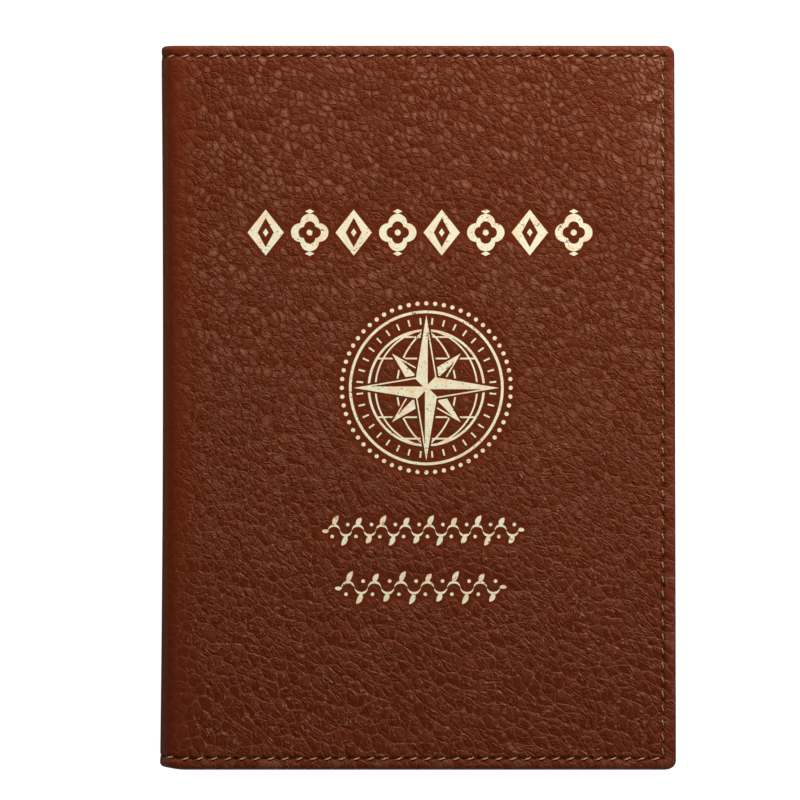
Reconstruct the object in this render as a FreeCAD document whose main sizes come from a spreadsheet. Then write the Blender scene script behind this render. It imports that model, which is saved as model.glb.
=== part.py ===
"""Leather passport case, closed and lying on its back cover.

Two turned-edge covers are joined by a narrow spine with a fold on each side of it.
Each cover is, from the outside in: leather, a thin stiffening board, a fabric
lining, the turned hem of the leather, and a leather pocket whose mouth faces the
spine. A sewn row goes round the top, fore edge and bottom through all of them.

Frame: +X from the spine to the fore edge, +Y to the top, +Z out of the front cover.
The origin is under the middle of the case, on the back cover's outer face.
Millimetres throughout.
"""
import FreeCAD, Part
import os
import re
from math import cos, radians, sin, tau
from FreeCAD import Placement, Rotation, Vector
import Sketcher

SIZES = {
    "case_width": 101.5,          # spine face to fore edge
    "case_height": 143.5,         # bottom edge to top edge
    "case_thickness": 10.4,       # back face to front face, closed
    "fold_radius": 3.2,           # outside radius of each fold
    "fold_sweep": 43.2,           # part of a fold's quarter turn that each side carries, degrees
    "leather_thick": 1.0,
    "board_thick": 0.4,
    "lining_thick": 0.3,
    "hem_thick": 0.6,
    "hem_width": 7.0,
    "pocket_thick": 0.7,
    "pocket_inset": 0.8,          # pocket panel's edge to the case's edge
    "board_setback": 1.4,         # fold line to the board's near edge
    "layer_gap": 0.1,             # board's and lining's side clearance to the leather rim
    "pleat_gap": 0.1,             # between the hem's strips at a corner
    "corner_radius": 1.8,         # fore corners, seen from the front
    "edge_radius": 0.9,           # outer edge of the leather
    "hem_radius": 0.4,            # inner edge of the turned hem
    "thread_diameter": 0.4,
    "thread_play": 0.02,          # thread to the floor and mouth of its groove
    "groove_width": 0.9,
    "end_inset": 2.3,             # top and bottom rows to the case's edge
    "fore_inset": 2.4,            # fore-edge row to the case's edge
    "stitch_length": 2.1,
    "fold_stitch_sweep": 34.0,    # degrees of a fold that one stitch spans
    "corner_stitches": 36,        # stitches from the middle of the spine to a fore corner
    "first_flat_stitch": 3,       # the first of them that lies on a flat cover
    "mouth_stitch": 12,           # the first of them that lies on the pocket
    "fore_stitches": 49,
    "mouth_row_inset": 2.0,
    "mouth_stitches": 45,
    "foil_thick": 0.05,
    "title_offset_across": 0.3,   # foil places, from the middle of the front cover
    "title_offset_up": 34.6,
    "title_pitch": 8.7,
    "title_motifs": 8,
    "lozenge_width": 7.2,
    "lozenge_height": 9.1,
    "lozenge_stroke": 1.25,
    "quatrefoil_lobe": 1.85,
    "emblem_offset_across": 1.6,
    "emblem_offset_up": 3.9,
    "bead_ring_radius": 16.7,
    "bead_radius": 0.42,
    "bead_count": 60,
    "frame_ring_radius": 15.3,
    "frame_ring_stroke": 0.55,
    "tick_count": 36,
    "tick_radius": 13.2,
    "tick_length": 1.3,
    "globe_radius": 11.6,
    "globe_stroke": 0.34,
    "rose_reach": 14.4,
    "rose_diagonal_reach": 9.6,
    "rose_waist": 2.9,
    "rose_halo": 0.4,
    "upper_flourish_across": 1.0,
    "upper_flourish_up": -24.3,
    "upper_flourish_width": 40.0,
    "upper_flourish_height": 6.2,
    "upper_flourish_waves": 8,
    "lower_flourish_across": 0.5,
    "lower_flourish_up": -35.6,
    "lower_flourish_width": 34.0,
    "lower_flourish_height": 6.8,
    "lower_flourish_waves": 6,
    "vine_stroke": 0.5,
}

# Places and levels that follow from the sizes above, as spreadsheet formulas.
FORE_EDGE = "(case_width / 2)"
SPINE_FACE = "(-case_width / 2)"
FOLD_LINE = "(fold_radius - case_width / 2)"
END_EDGE = "(case_height / 2)"
UPPER_FOLD = "(case_thickness - fold_radius)"
BOARD_START = f"({FOLD_LINE} + board_setback)"
RISER = f"({BOARD_START} - lining_thick)"
HEM_STEP = f"({RISER} - lining_thick)"
FOLD_LINING_TOP = "(leather_thick + lining_thick)"
FOLD_HEM_TOP = "(leather_thick + lining_thick + hem_thick)"
BOARD_TOP = "(leather_thick + board_thick)"
LINING_TOP = "(leather_thick + board_thick + lining_thick)"
HEM_TOP = f"({LINING_TOP} + hem_thick)"
POCKET_TOP = f"({HEM_TOP} + pocket_thick)"
INNER_END = f"({END_EDGE} - leather_thick - layer_gap)"
INNER_FORE = f"({FORE_EDGE} - leather_thick - layer_gap)"
HALF_SPINE = "(case_thickness / 2 + (pi / 2 - 1) * fold_radius)"
END_ROW = f"({END_EDGE} - end_inset)"
FORE_ROW = f"({FORE_EDGE} - fore_inset)"
PITCH = f"(({HALF_SPINE} + {FORE_ROW} - {FOLD_LINE}) / (corner_stitches + 0.5))"
FORE_PITCH = f"(2 * {END_ROW} / fore_stitches)"
FLAT_ROW_START = f"({FOLD_LINE} - {HALF_SPINE} + first_flat_stitch * {PITCH})"
POCKET_ROW_START = f"({FOLD_LINE} - {HALF_SPINE} + mouth_stitch * {PITCH})"
MOUTH = f"({POCKET_ROW_START} - {PITCH} / 2)"
GROOVE_DEPTH = "(thread_diameter + 2 * thread_play)"
THREAD_DEPTH = "(thread_diameter / 2 + thread_play)"

AXES = {"X": Vector(1, 0, 0), "Y": Vector(0, 1, 0), "Z": Vector(0, 0, 1)}
ENDS = (("top", 1), ("bottom", -1))

doc = FreeCAD.newDocument("PassportCase")
sheet = doc.addObject("Spreadsheet::Sheet", "Sizes")
for row, (alias, number) in enumerate(SIZES.items(), start=1):
    sheet.set(f"A{row}", alias)
    sheet.set(f"B{row}", str(number))
    sheet.setAlias(f"B{row}", alias)
doc.recompute()


def with_cells(formula):
    """The formula with each alias written as a reference to its cell."""
    return re.sub(r"[a-z][a-z_]*[a-z]", lambda word: "Sizes." + word.group()
                  if word.group() in SIZES else word.group(), formula)


def value(formula):
    return float(sheet.evalExpression(with_cells(formula)))


def bind(thing, target, formula):
    thing.setExpression(target, with_cells(formula))


def new_body(label):
    body = doc.addObject("PartDesign::Body", label)
    body.Label = label
    body.AllowCompound = True
    return body


def origin_feature(body, role):
    return next(item for item in body.Origin.OriginFeatures if item.Role == role)


def rectangle(body, name, plane, across, along):
    """A sketch of one rectangle; across and along are pairs of formulas, in any order."""
    low_u, high_u = sorted(across, key=value)
    low_v, high_v = sorted(along, key=value)
    corners = [Vector(value(u), value(v), 0) for u, v in
               ((low_u, low_v), (high_u, low_v), (high_u, high_v), (low_u, high_v))]
    sketch = body.newObject("Sketcher::SketchObject", name)
    sketch.AttachmentSupport = [(origin_feature(body, plane), "")]
    sketch.MapMode = "FlatFace"
    sides = sketch.addGeometry([Part.LineSegment(corners[i], corners[(i + 1) % 4])
                                for i in range(4)], False)
    for i in range(4):
        sketch.addConstraint(Sketcher.Constraint("Coincident", sides[i], 2, sides[(i + 1) % 4], 1))
        sketch.addConstraint(Sketcher.Constraint(("Horizontal", "Vertical")[i % 2], sides[i]))
    for label, kind, corner, formula in (("low_u", "DistanceX", 0, low_u),
                                         ("high_u", "DistanceX", 2, high_u),
                                         ("low_v", "DistanceY", 0, low_v),
                                         ("high_v", "DistanceY", 2, high_v)):
        index = sketch.addConstraint(
            Sketcher.Constraint(kind, -1, 1, sides[corner], 1, value(formula)))
        sketch.renameConstraint(index, label)
        bind(sketch, f"Constraints.{label}", formula)
    return sketch


def slab(body, name, x, y, z, cut=False):
    """A block, added or cut, between pairs of formulas on each axis."""
    low, high = sorted(z, key=value)
    sketch = rectangle(body, name + "_outline", "XY_Plane", x, y)
    bind(sketch, "AttachmentOffset.Base.z", low)
    feature = body.newObject("PartDesign::Pocket" if cut else "PartDesign::Pad", name)
    feature.Profile = sketch
    feature.Reversed = cut
    bind(feature, "Length", f"({high}) - ({low})")
    return feature


def turn(body, name, radii, y, side, cut=False):
    """Part of a fold's quarter turn, added or cut, between two radii.

    side is "cover" for the part next to the back cover's flat, and "low" or "high"
    for the parts next to the spine's flat.
    """
    inner, outer = radii
    if side == "cover":
        sketch = rectangle(body, name + "_outline", "YZ_Plane", y, (f"-{outer}", f"-{inner}"))
        bind(sketch, "AttachmentOffset.Base.y", "fold_radius")
        bind(sketch, "AttachmentOffset.Base.z", FOLD_LINE)
    else:
        sketch = rectangle(body, name + "_outline", "XY_Plane", (f"-{outer}", f"-{inner}"), y)
        bind(sketch, "AttachmentOffset.Base.x", FOLD_LINE)
        bind(sketch, "AttachmentOffset.Base.z", "fold_radius" if side == "low" else UPPER_FOLD)
    feature = body.newObject("PartDesign::Groove" if cut else "PartDesign::Revolution", name)
    feature.Profile = sketch
    feature.ReferenceAxis = (sketch, ["H_Axis" if side == "cover" else "V_Axis"])
    feature.Reversed = side == "low"
    bind(feature, "Angle", "fold_sweep")
    return feature


def fillet(body, name, radius, wanted):
    """Round the edges of the body so far that wanted() picks."""
    doc.recompute()
    base = body.Tip
    edges = [f"Edge{i}" for i, edge in enumerate(base.Shape.Edges, start=1) if wanted(edge)]
    feature = body.newObject("PartDesign::Fillet", name)
    feature.Base = (base, edges)
    bind(feature, "Radius", radius)
    return feature


def level(edge, axis, position):
    """Whether an edge lies wholly at one position along an axis."""
    box = edge.BoundBox
    low, high = getattr(box, axis + "Min"), getattr(box, axis + "Max")
    return abs(low - position) < 1e-4 and abs(high - position) < 1e-4


def upright(edge):
    return edge.BoundBox.ZLength > 0.1 and max(edge.BoundBox.XLength, edge.BoundBox.YLength) < 1e-4


def at_fore_corner(edge):
    return (upright(edge) and level(edge, "X", value(FORE_EDGE))
            and abs(abs(edge.BoundBox.Center.y) - value(END_EDGE)) < 1e-4)


def at_end(edge):
    return level(edge, "Y", value(END_EDGE)) or level(edge, "Y", -value(END_EDGE))


def stitch(body, name, along, x, y, z):
    """One straight stitch, centred on a point."""
    thread = body.newObject("PartDesign::AdditiveCylinder", name)
    thread.Placement = Placement(Vector(), Rotation(AXES["Z"], AXES[along]))
    bind(thread, "Radius", "thread_diameter / 2")
    bind(thread, "Height", "stitch_length")
    for axis, formula in (("X", x), ("Y", y), ("Z", z)):
        shift = " - stitch_length / 2" if axis == along else ""
        bind(thread, "Placement.Base." + axis.lower(), formula + shift)
    return thread


def stitch_row(body, name, along, count, pitch, x, y, z):
    """A straight row of stitches, from the first one's centre."""
    first = stitch(body, name + "_first", along, x, y, z)
    doc.recompute()
    row = body.newObject("PartDesign::LinearPattern", name)
    row.Originals = [first]
    row.Direction = (origin_feature(body, along + "_Axis"), [""])
    bind(row, "Occurrences", count)
    bind(row, "Length", f"({count} - 1) * {pitch}")
    body.Tip = row
    doc.recompute()
    return row


def fold_stitch(body, name, depth, y, angle, high=False):
    """One stitch bent round a fold, its middle at an angle from the fold's cover side."""
    start = radians(value(f"{angle} - fold_stitch_sweep / 2"))
    lift = 1 if high else -1
    toward = Vector(-sin(start), 0, lift * cos(start))
    axis = Vector(0, -lift, 0)
    thread = body.newObject("PartDesign::AdditiveTorus", name)
    thread.Placement = Placement(Vector(), Rotation(toward, axis.cross(toward), axis, "ZXY"))
    bind(thread, "Radius1", f"fold_radius - {depth}")
    bind(thread, "Radius2", "thread_diameter / 2")
    bind(thread, "Angle3", "fold_stitch_sweep")
    bind(thread, "Placement.Base.x", FOLD_LINE)
    bind(thread, "Placement.Base.y", y)
    bind(thread, "Placement.Base.z", UPPER_FOLD if high else "fold_radius")
    return thread


# ---- cover: built as the back cover; the front cover is the same, turned over ----

def cover_leather(label):
    """Outer leather: face, the near half of the fold, and the rim that wraps the edges."""
    body = new_body(label)
    whole = (f"-{END_EDGE}", END_EDGE)
    slab(body, "face", (FOLD_LINE, FORE_EDGE), whole, ("0", "leather_thick"))
    turn(body, "fold", ("(fold_radius - leather_thick)", "fold_radius"), whole, "cover")
    slab(body, "fore_rim", (f"{FORE_EDGE} - leather_thick", FORE_EDGE), whole,
         ("leather_thick", LINING_TOP))
    for end, sign in ENDS:
        rim = (f"{sign} * ({END_EDGE} - leather_thick)", f"{sign} * {END_EDGE}")
        slab(body, f"{end}_rim", (RISER, FORE_EDGE), rim, ("leather_thick", LINING_TOP))
        slab(body, f"{end}_low_rim", (FOLD_LINE, RISER), rim, ("leather_thick", FOLD_LINING_TOP))
        turn(body, f"{end}_fold_rim",
             (f"(fold_radius - {FOLD_LINING_TOP})", "(fold_radius - leather_thick)"), rim, "cover")
    fillet(body, "corners", "corner_radius", at_fore_corner)
    fillet(body, "outer_edge", "edge_radius", lambda edge: (
        level(edge, "Z", 0) and not level(edge, "X", value(FOLD_LINE))))
    cut_end_grooves(body, ("0", GROOVE_DEPTH), (FOLD_LINE, FORE_ROW + " + groove_width / 2"))
    for end, sign in ENDS:
        turn(body, f"{end}_fold_groove", (f"(fold_radius - {GROOVE_DEPTH})", "fold_radius"),
             groove_band(sign), "cover", cut=True)
    slab(body, "fore_groove",
         (f"{FORE_ROW} - groove_width / 2", f"{FORE_ROW} + groove_width / 2"),
         (f"-{END_ROW}", END_ROW), ("0", GROOVE_DEPTH), cut=True)
    return body


def groove_band(sign):
    return (f"{sign} * {END_ROW} - groove_width / 2", f"{sign} * {END_ROW} + groove_width / 2")


def cut_end_grooves(body, depth, x):
    for end, sign in ENDS:
        slab(body, f"{end}_groove", x, groove_band(sign), depth, cut=True)


def cover_board(label):
    body = new_body(label)
    slab(body, "sheet", (BOARD_START, INNER_FORE), (f"-{INNER_END}", INNER_END),
         ("leather_thick", BOARD_TOP))
    return body


def cover_lining(label):
    """Fabric over the board, stepping down to the leather before the fold."""
    body = new_body(label)
    width = (f"-{INNER_END}", INNER_END)
    slab(body, "over_board", (BOARD_START, INNER_FORE), width, (BOARD_TOP, LINING_TOP))
    slab(body, "step", (RISER, BOARD_START), width, ("leather_thick", LINING_TOP))
    slab(body, "beside_board", (FOLD_LINE, RISER), width, ("leather_thick", FOLD_LINING_TOP))
    turn(body, "fold", (f"(fold_radius - {FOLD_LINING_TOP})", "(fold_radius - leather_thick)"),
         width, "cover")
    return body


def cover_hem(label):
    """The leather turned over to the inside: one strip along each of three edges."""
    body = new_body(label)
    strip_end = f"({FORE_EDGE} - hem_width - pleat_gap)"
    slab(body, "fore_strip", (f"{FORE_EDGE} - hem_width", FORE_EDGE),
         (f"-{END_EDGE}", END_EDGE), (LINING_TOP, HEM_TOP))
    fillet(body, "corners", "corner_radius", at_fore_corner)
    for end, sign in ENDS:
        band = (f"{sign} * ({END_EDGE} - hem_width)", f"{sign} * {END_EDGE}")
        slab(body, f"{end}_strip", (HEM_STEP, strip_end), band, (LINING_TOP, HEM_TOP))
        slab(body, f"{end}_step", (FOLD_LINE, RISER), band, (FOLD_LINING_TOP, FOLD_HEM_TOP))
        turn(body, f"{end}_fold",
             (f"(fold_radius - {FOLD_HEM_TOP})", f"(fold_radius - {FOLD_LINING_TOP})"),
             band, "cover")
    fillet(body, "inner_edge", "hem_radius", lambda edge: (
        level(edge, "Z", value(HEM_TOP)) and (at_end(edge) or (
            edge.BoundBox.XMax > value(FORE_EDGE) - 1e-4))))
    floor = f"({HEM_TOP} - {GROOVE_DEPTH})"
    low_floor = f"({FOLD_HEM_TOP} - {GROOVE_DEPTH})"
    cut_end_grooves(body, (floor, HEM_TOP), (HEM_STEP, MOUTH))
    for end, sign in ENDS:
        slab(body, f"{end}_step_groove", (FOLD_LINE, HEM_STEP), groove_band(sign),
             (low_floor, FOLD_HEM_TOP), cut=True)
        turn(body, f"{end}_fold_groove",
             (f"(fold_radius - {FOLD_HEM_TOP})", f"(fold_radius - {low_floor})"),
             groove_band(sign), "cover", cut=True)
    return body


def cover_pocket(label):
    """Leather pocket panel, sewn down on three sides and open towards the spine."""
    body = new_body(label)
    side = f"({END_EDGE} - pocket_inset)"
    fore = f"({FORE_EDGE} - pocket_inset)"
    slab(body, "panel", (MOUTH, fore), (f"-{side}", side), (HEM_TOP, POCKET_TOP))
    fillet(body, "corners", "corner_radius - pocket_inset / 2", lambda edge: (
        upright(edge) and level(edge, "X", value(fore))))
    depth = (f"{POCKET_TOP} - {GROOVE_DEPTH}", POCKET_TOP)
    cut_end_grooves(body, depth, (MOUTH, FORE_ROW + " + groove_width / 2"))
    slab(body, "fore_groove",
         (f"{FORE_ROW} - groove_width / 2", f"{FORE_ROW} + groove_width / 2"),
         (f"-{END_ROW}", END_ROW), depth, cut=True)
    mouth_row = f"({MOUTH} + mouth_row_inset)"
    slab(body, "mouth_groove",
         (f"{mouth_row} - groove_width / 2", f"{mouth_row} + groove_width / 2"),
         (f"-{mouth_half()} - {PITCH}", f"{mouth_half()} + {PITCH}"), depth, cut=True)
    return body


def mouth_half():
    return f"((mouth_stitches - 1) / 2 * {PITCH})"


def cover_outer_stitches(label):
    body = new_body(label)
    for end, sign in ENDS:
        y = f"{sign} * {END_ROW}"
        stitch_row(body, f"{end}_row", "X", "(corner_stitches - first_flat_stitch + 1)", PITCH,
                   FLAT_ROW_START, y, THREAD_DEPTH)
        fold_stitch(body, f"{end}_fold_stitch", THREAD_DEPTH, y, fold_angle(2))
    stitch_row(body, "fore_row", "Y", "fore_stitches", FORE_PITCH, FORE_ROW,
               f"{FORE_PITCH} / 2 - {END_ROW}", THREAD_DEPTH)
    return body


def fold_angle(number):
    """Where the numbered stitch from mid-spine lies in the fold, degrees from the cover."""
    return f"(({HALF_SPINE} - {number} * {PITCH}) / fold_radius * 180 / pi)"


def cover_inner_stitches(label):
    body = new_body(label)
    on_hem = f"({HEM_TOP} - {THREAD_DEPTH})"
    on_pocket = f"({POCKET_TOP} - {THREAD_DEPTH})"
    for end, sign in ENDS:
        y = f"{sign} * {END_ROW}"
        fold_stitch(body, f"{end}_fold_stitch", f"({FOLD_HEM_TOP} - {THREAD_DEPTH})", y,
                    fold_angle(2))
        stitch_row(body, f"{end}_hem_row", "X", "(mouth_stitch - first_flat_stitch)", PITCH,
                   FLAT_ROW_START, y, on_hem)
        stitch_row(body, f"{end}_pocket_row", "X", "(corner_stitches - mouth_stitch + 1)", PITCH,
                   POCKET_ROW_START, y, on_pocket)
    stitch_row(body, "fore_row", "Y", "fore_stitches", FORE_PITCH, FORE_ROW,
               f"{FORE_PITCH} / 2 - {END_ROW}", on_pocket)
    return body


def cover_mouth_stitches(label):
    body = new_body(label)
    stitch_row(body, "mouth_row", "Y", "mouth_stitches", PITCH, f"{MOUTH} + mouth_row_inset",
               f"-{mouth_half()}", f"({POCKET_TOP} - {THREAD_DEPTH})")
    return body


# ---- spine ----

def spine_leather(label):
    body = new_body(label)
    whole = (f"-{END_EDGE}", END_EDGE)
    flat = ("fold_radius", UPPER_FOLD)
    slab(body, "face", (SPINE_FACE, f"{SPINE_FACE} + leather_thick"), whole, flat)
    for side in ("low", "high"):
        turn(body, f"{side}_fold", ("(fold_radius - leather_thick)", "fold_radius"), whole, side)
    for end, sign in ENDS:
        rim = (f"{sign} * ({END_EDGE} - leather_thick)", f"{sign} * {END_EDGE}")
        slab(body, f"{end}_rim",
             (f"{SPINE_FACE} + leather_thick", f"{SPINE_FACE} + {FOLD_LINING_TOP}"), rim, flat)
        for side in ("low", "high"):
            turn(body, f"{end}_{side}_rim",
                 (f"(fold_radius - {FOLD_LINING_TOP})", "(fold_radius - leather_thick)"),
                 rim, side)
    fillet(body, "outer_edge", "edge_radius", lambda edge: (
        at_end(edge) and level(edge, "X", value(SPINE_FACE))))
    for end, sign in ENDS:
        slab(body, f"{end}_groove", (SPINE_FACE, f"{SPINE_FACE} + {GROOVE_DEPTH}"),
             groove_band(sign), flat, cut=True)
        for side in ("low", "high"):
            turn(body, f"{end}_{side}_groove", (f"(fold_radius - {GROOVE_DEPTH})", "fold_radius"),
                 groove_band(sign), side, cut=True)
    return body


def spine_lining(label):
    body = new_body(label)
    width = (f"-{INNER_END}", INNER_END)
    slab(body, "face", (f"{SPINE_FACE} + leather_thick", f"{SPINE_FACE} + {FOLD_LINING_TOP}"),
         width, ("fold_radius", UPPER_FOLD))
    for side in ("low", "high"):
        turn(body, f"{side}_fold",
             (f"(fold_radius - {FOLD_LINING_TOP})", "(fold_radius - leather_thick)"), width, side)
    return body


def spine_hem(label):
    body = new_body(label)
    inner_face = f"({SPINE_FACE} + {FOLD_HEM_TOP})"
    flat = ("fold_radius", UPPER_FOLD)
    radii = (f"(fold_radius - {FOLD_HEM_TOP})", f"(fold_radius - {FOLD_LINING_TOP})")
    low_floor = f"(fold_radius - {FOLD_HEM_TOP} + {GROOVE_DEPTH})"
    for end, sign in ENDS:
        band = (f"{sign} * ({END_EDGE} - hem_width)", f"{sign} * {END_EDGE}")
        slab(body, f"{end}_strip", (f"{SPINE_FACE} + {FOLD_LINING_TOP}", inner_face), band, flat)
        for side in ("low", "high"):
            turn(body, f"{end}_{side}_fold", radii, band, side)
        slab(body, f"{end}_groove", (f"{inner_face} - {GROOVE_DEPTH}", inner_face),
             groove_band(sign), flat, cut=True)
        for side in ("low", "high"):
            turn(body, f"{end}_{side}_groove", (f"(fold_radius - {FOLD_HEM_TOP})", low_floor),
                 groove_band(sign), side, cut=True)
    return body


def spine_stitches(label, depth):
    """The spine's stitches at a depth from its outer face: one straight, one in each fold."""
    body = new_body(label)
    for end, sign in ENDS:
        y = f"{sign} * {END_ROW}"
        stitch(body, f"{end}_stitch", "Z", f"{SPINE_FACE} + {depth}", y, "case_thickness / 2")
        for side in ("low", "high"):
            fold_stitch(body, f"{end}_{side}_stitch", depth, y, fold_angle(1),
                        high=side == "high")
    return body


# ---- gold foil on the front cover: flat outlines of lines and arcs ----

def polygon(points):
    return Part.Face(Part.makePolygon(points + points[:1]))


def disc(centre, radius):
    return Part.Face(Part.Wire(Part.makeCircle(radius, centre)))


def ring(centre, radius, stroke):
    return disc(centre, radius).cut(disc(centre, radius - stroke))


def bar(centre, width, height):
    return polygon([centre + Vector(sx * width / 2, sy * height / 2)
                    for sx, sy in ((-1, -1), (1, -1), (1, 1), (-1, 1))])


def lozenge(centre, width, height):
    return polygon([centre + Vector(width / 2, 0), centre + Vector(0, height / 2),
                    centre - Vector(width / 2, 0), centre - Vector(0, height / 2)])


def quatrefoil(centre, lobe):
    """Four half-round lobes on the sides of a square twice one lobe's radius wide."""
    corners = [centre + Vector(lobe * sx, lobe * sy)
               for sx, sy in ((1, -1), (1, 1), (-1, 1), (-1, -1))]
    tips = [centre + Vector(2 * lobe * sx, 2 * lobe * sy)
            for sx, sy in ((1, 0), (0, 1), (-1, 0), (0, -1))]
    arcs = [Part.Arc(corners[i], tips[i], corners[(i + 1) % 4]).toShape() for i in range(4)]
    return Part.Face(Part.Wire(arcs))


def leaf(root, tip, bulge):
    """A pointed leaf between two arcs, fuller on its left."""
    middle = (root + tip) / 2
    side = Vector(root.y - tip.y, tip.x - root.x).normalize()
    return Part.Face(Part.Wire([Part.Arc(root, middle + side * bulge, tip).toShape(),
                                Part.Arc(tip, middle - side * bulge * 0.4, root).toShape()]))


def foil_node(label, faces, centre):
    """Join the flat faces and give them the foil's thickness, standing on the front cover."""
    outline = faces[0].multiFuse(faces[1:]).removeSplitter() if len(faces) > 1 else faces[0]
    foil = doc.addObject("Part::Feature", label)
    foil.Label = label
    foil.Shape = outline.extrude(Vector(0, 0, value("foil_thick")))
    foil.Placement = Placement(Vector(centre.x, centre.y, value("case_thickness")), Rotation())
    return foil


def title_band(label):
    """A row of lozenges and quatrefoils in turn."""
    faces = []
    pitch, width, height = value("title_pitch"), value("lozenge_width"), value("lozenge_height")
    stroke, lobe = value("lozenge_stroke"), value("quatrefoil_lobe")
    count = SIZES["title_motifs"]
    for index in range(count):
        centre = Vector((index - (count - 1) / 2) * pitch, 0)
        if index % 2 == 0:
            # The inner outline is lower than it is wide, so upright strokes are the heavier.
            faces.append(lozenge(centre, width, height).cut(
                lozenge(centre, width - 3.2 * stroke, height - 2.6 * stroke)))
            faces.append(lozenge(centre, stroke * 0.9, stroke * 1.3))
        else:
            faces.append(quatrefoil(centre, lobe).cut(quatrefoil(centre, lobe * 0.6)))
            faces.append(disc(centre, lobe * 0.32))
            for sign in (1, -1):
                faces.append(lozenge(centre + Vector(0, sign * (height / 2 - stroke * 0.3)),
                                     stroke * 1.5, stroke * 0.75))
    return foil_node(label, faces, Vector(value("title_offset_across"), value("title_offset_up")))


def rose_point(reach, waist):
    """One point of the compass rose, straight up, as its left and right halves."""
    elbow = waist * sin(radians(45))
    return [polygon([Vector(), Vector(0, reach), Vector(side * elbow, elbow)])
            for side in (-1, 1)]


def emblem(label):
    """A compass rose over a globe's lines, in a ring of beads."""
    stroke, radius = value("globe_stroke"), value("globe_radius")
    halo, waist = value("rose_halo"), value("rose_waist")
    middle, up = Vector(), Vector(0, 0, 1)
    globe = [ring(middle, radius, stroke * 1.4), bar(middle, stroke, 2 * radius)]
    for latitude in (-60, -30, 0, 30, 60):
        globe.append(bar(Vector(0, radius * sin(radians(latitude))), 2 * radius, stroke))
    for longitude in (30, 60):
        reach = radius * sin(radians(longitude))
        bow = (reach ** 2 + radius ** 2) / (2 * reach)
        for side in (-1, 1):
            globe.append(ring(Vector(side * (reach - bow), 0), bow + stroke / 2, stroke))
    globe = globe[0].multiFuse(globe[1:]).common(disc(middle, radius))

    long_points, short_points = [], []
    for quarter in range(4):
        for points, reach, angle in ((long_points, value("rose_reach"), 90 * quarter),
                                     (short_points, value("rose_diagonal_reach"),
                                      90 * quarter + 45)):
            filled, hollow = rose_point(reach, waist)
            outline = hollow.makeOffset2D(-stroke * 0.8)
            for face in (filled, hollow.cut(outline)):
                points.append(face.rotated(middle, up, angle))
    long_star = long_points[0].multiFuse(long_points[1:])
    star_hull = polygon([Vector(r * sin(a), r * cos(a)) for k in range(8)
                         for r, a in ((value("rose_reach") if k % 2 == 0 else waist,
                                       radians(45 * k)),)])
    long_clear = star_hull.makeOffset2D(halo)
    short_hull = polygon([Vector(r * sin(a), r * cos(a)) for k in range(8)
                          for r, a in ((value("rose_diagonal_reach") if k % 2 == 0 else waist,
                                        radians(45 * k + 45)),)])
    short_clear = short_hull.makeOffset2D(halo)
    short_star = short_points[0].multiFuse(short_points[1:]).cut(long_clear)

    rim_radius, rim_stroke = value("frame_ring_radius"), value("frame_ring_stroke")
    rim = ring(middle, rim_radius, rim_stroke).cut(long_clear)
    faces = [globe.cut(short_clear).cut(long_clear), short_star, long_star, rim]
    ticks = SIZES["tick_count"]
    for index in range(ticks):
        tick = bar(Vector(0, value("tick_radius")), stroke, value("tick_length"))
        faces.append(tick.rotated(middle, up, 360 * (index + 0.5) / ticks).cut(long_clear))
    beads = SIZES["bead_count"]
    for index in range(beads):
        angle = tau * index / beads
        faces.append(disc(Vector(cos(angle), sin(angle)) * value("bead_ring_radius"),
                          value("bead_radius")))
    return foil_node(label, faces,
                     Vector(value("emblem_offset_across"), value("emblem_offset_up")))


def flourish(label, size):
    """A slanted vine: a waving stem with a long leaf at every crest and a dot under it."""
    width, height = value(size + "_width"), value(size + "_height")
    stroke = value("vine_stroke")
    half_waves = 2 * SIZES[size + "_waves"]
    step = width / (half_waves + 1)
    slant = Vector(0.30, 1).normalize()
    faces = []
    for index in range(half_waves):
        side = 1 if index % 2 == 0 else -1
        centre = Vector((index - (half_waves - 1) / 2) * step, 0)
        left, right = centre - Vector(step / 2, 0), centre + Vector(step / 2, 0)
        crest = centre + Vector(0, side * height * 0.16)
        outer = Part.Arc(left, crest + Vector(0, side * stroke / 2), right).toShape()
        inner = Part.Arc(right, crest - Vector(0, side * stroke / 2), left).toShape()
        faces.append(Part.Face(Part.Wire([outer, inner])))
        reach = slant * (side * height * (0.5 if index % 4 < 2 else 0.42))
        faces.append(leaf(crest - slant * (side * stroke * 0.3), centre + reach, stroke * 1.45))
        faces.append(disc(centre - slant * (side * height * 0.2), stroke * 0.72))
    for side in (-1, 1):
        tip = Vector(side * width / 2, 0)
        faces.append(leaf(tip - Vector(side * step * 0.55, 0), tip, stroke * 1.1))
    return foil_node(label, faces, Vector(value(size + "_across"), value(size + "_up")))


# ---- assembly ----

COVER_PIECES = {
    "leather": cover_leather,
    "board": cover_board,
    "lining": cover_lining,
    "hem": cover_hem,
    "pocket": cover_pocket,
    "outer_stitches": cover_outer_stitches,
    "inner_stitches": cover_inner_stitches,
    "pocket_mouth_stitches": cover_mouth_stitches,
}
TURNED_OVER = Placement(Vector(0, 0, value("case_thickness")), Rotation(AXES["X"], 180))

parts = []
for cover, place in (("back", Placement()), ("front", TURNED_OVER)):
    for piece, make in COVER_PIECES.items():
        made = make(f"{cover}_{piece}")
        made.Placement = place
        parts.append(made)
parts += [
    spine_leather("spine_leather"),
    spine_lining("spine_lining"),
    spine_hem("spine_hem"),
    spine_stitches("spine_outer_stitches", THREAD_DEPTH),
    spine_stitches("spine_inner_stitches", f"({FOLD_HEM_TOP} - {THREAD_DEPTH})"),
    title_band("foil_title_band"),
    emblem("foil_emblem"),
    flourish("foil_upper_flourish", "upper_flourish"),
    flourish("foil_lower_flourish", "lower_flourish"),
]
doc.recompute()

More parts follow.
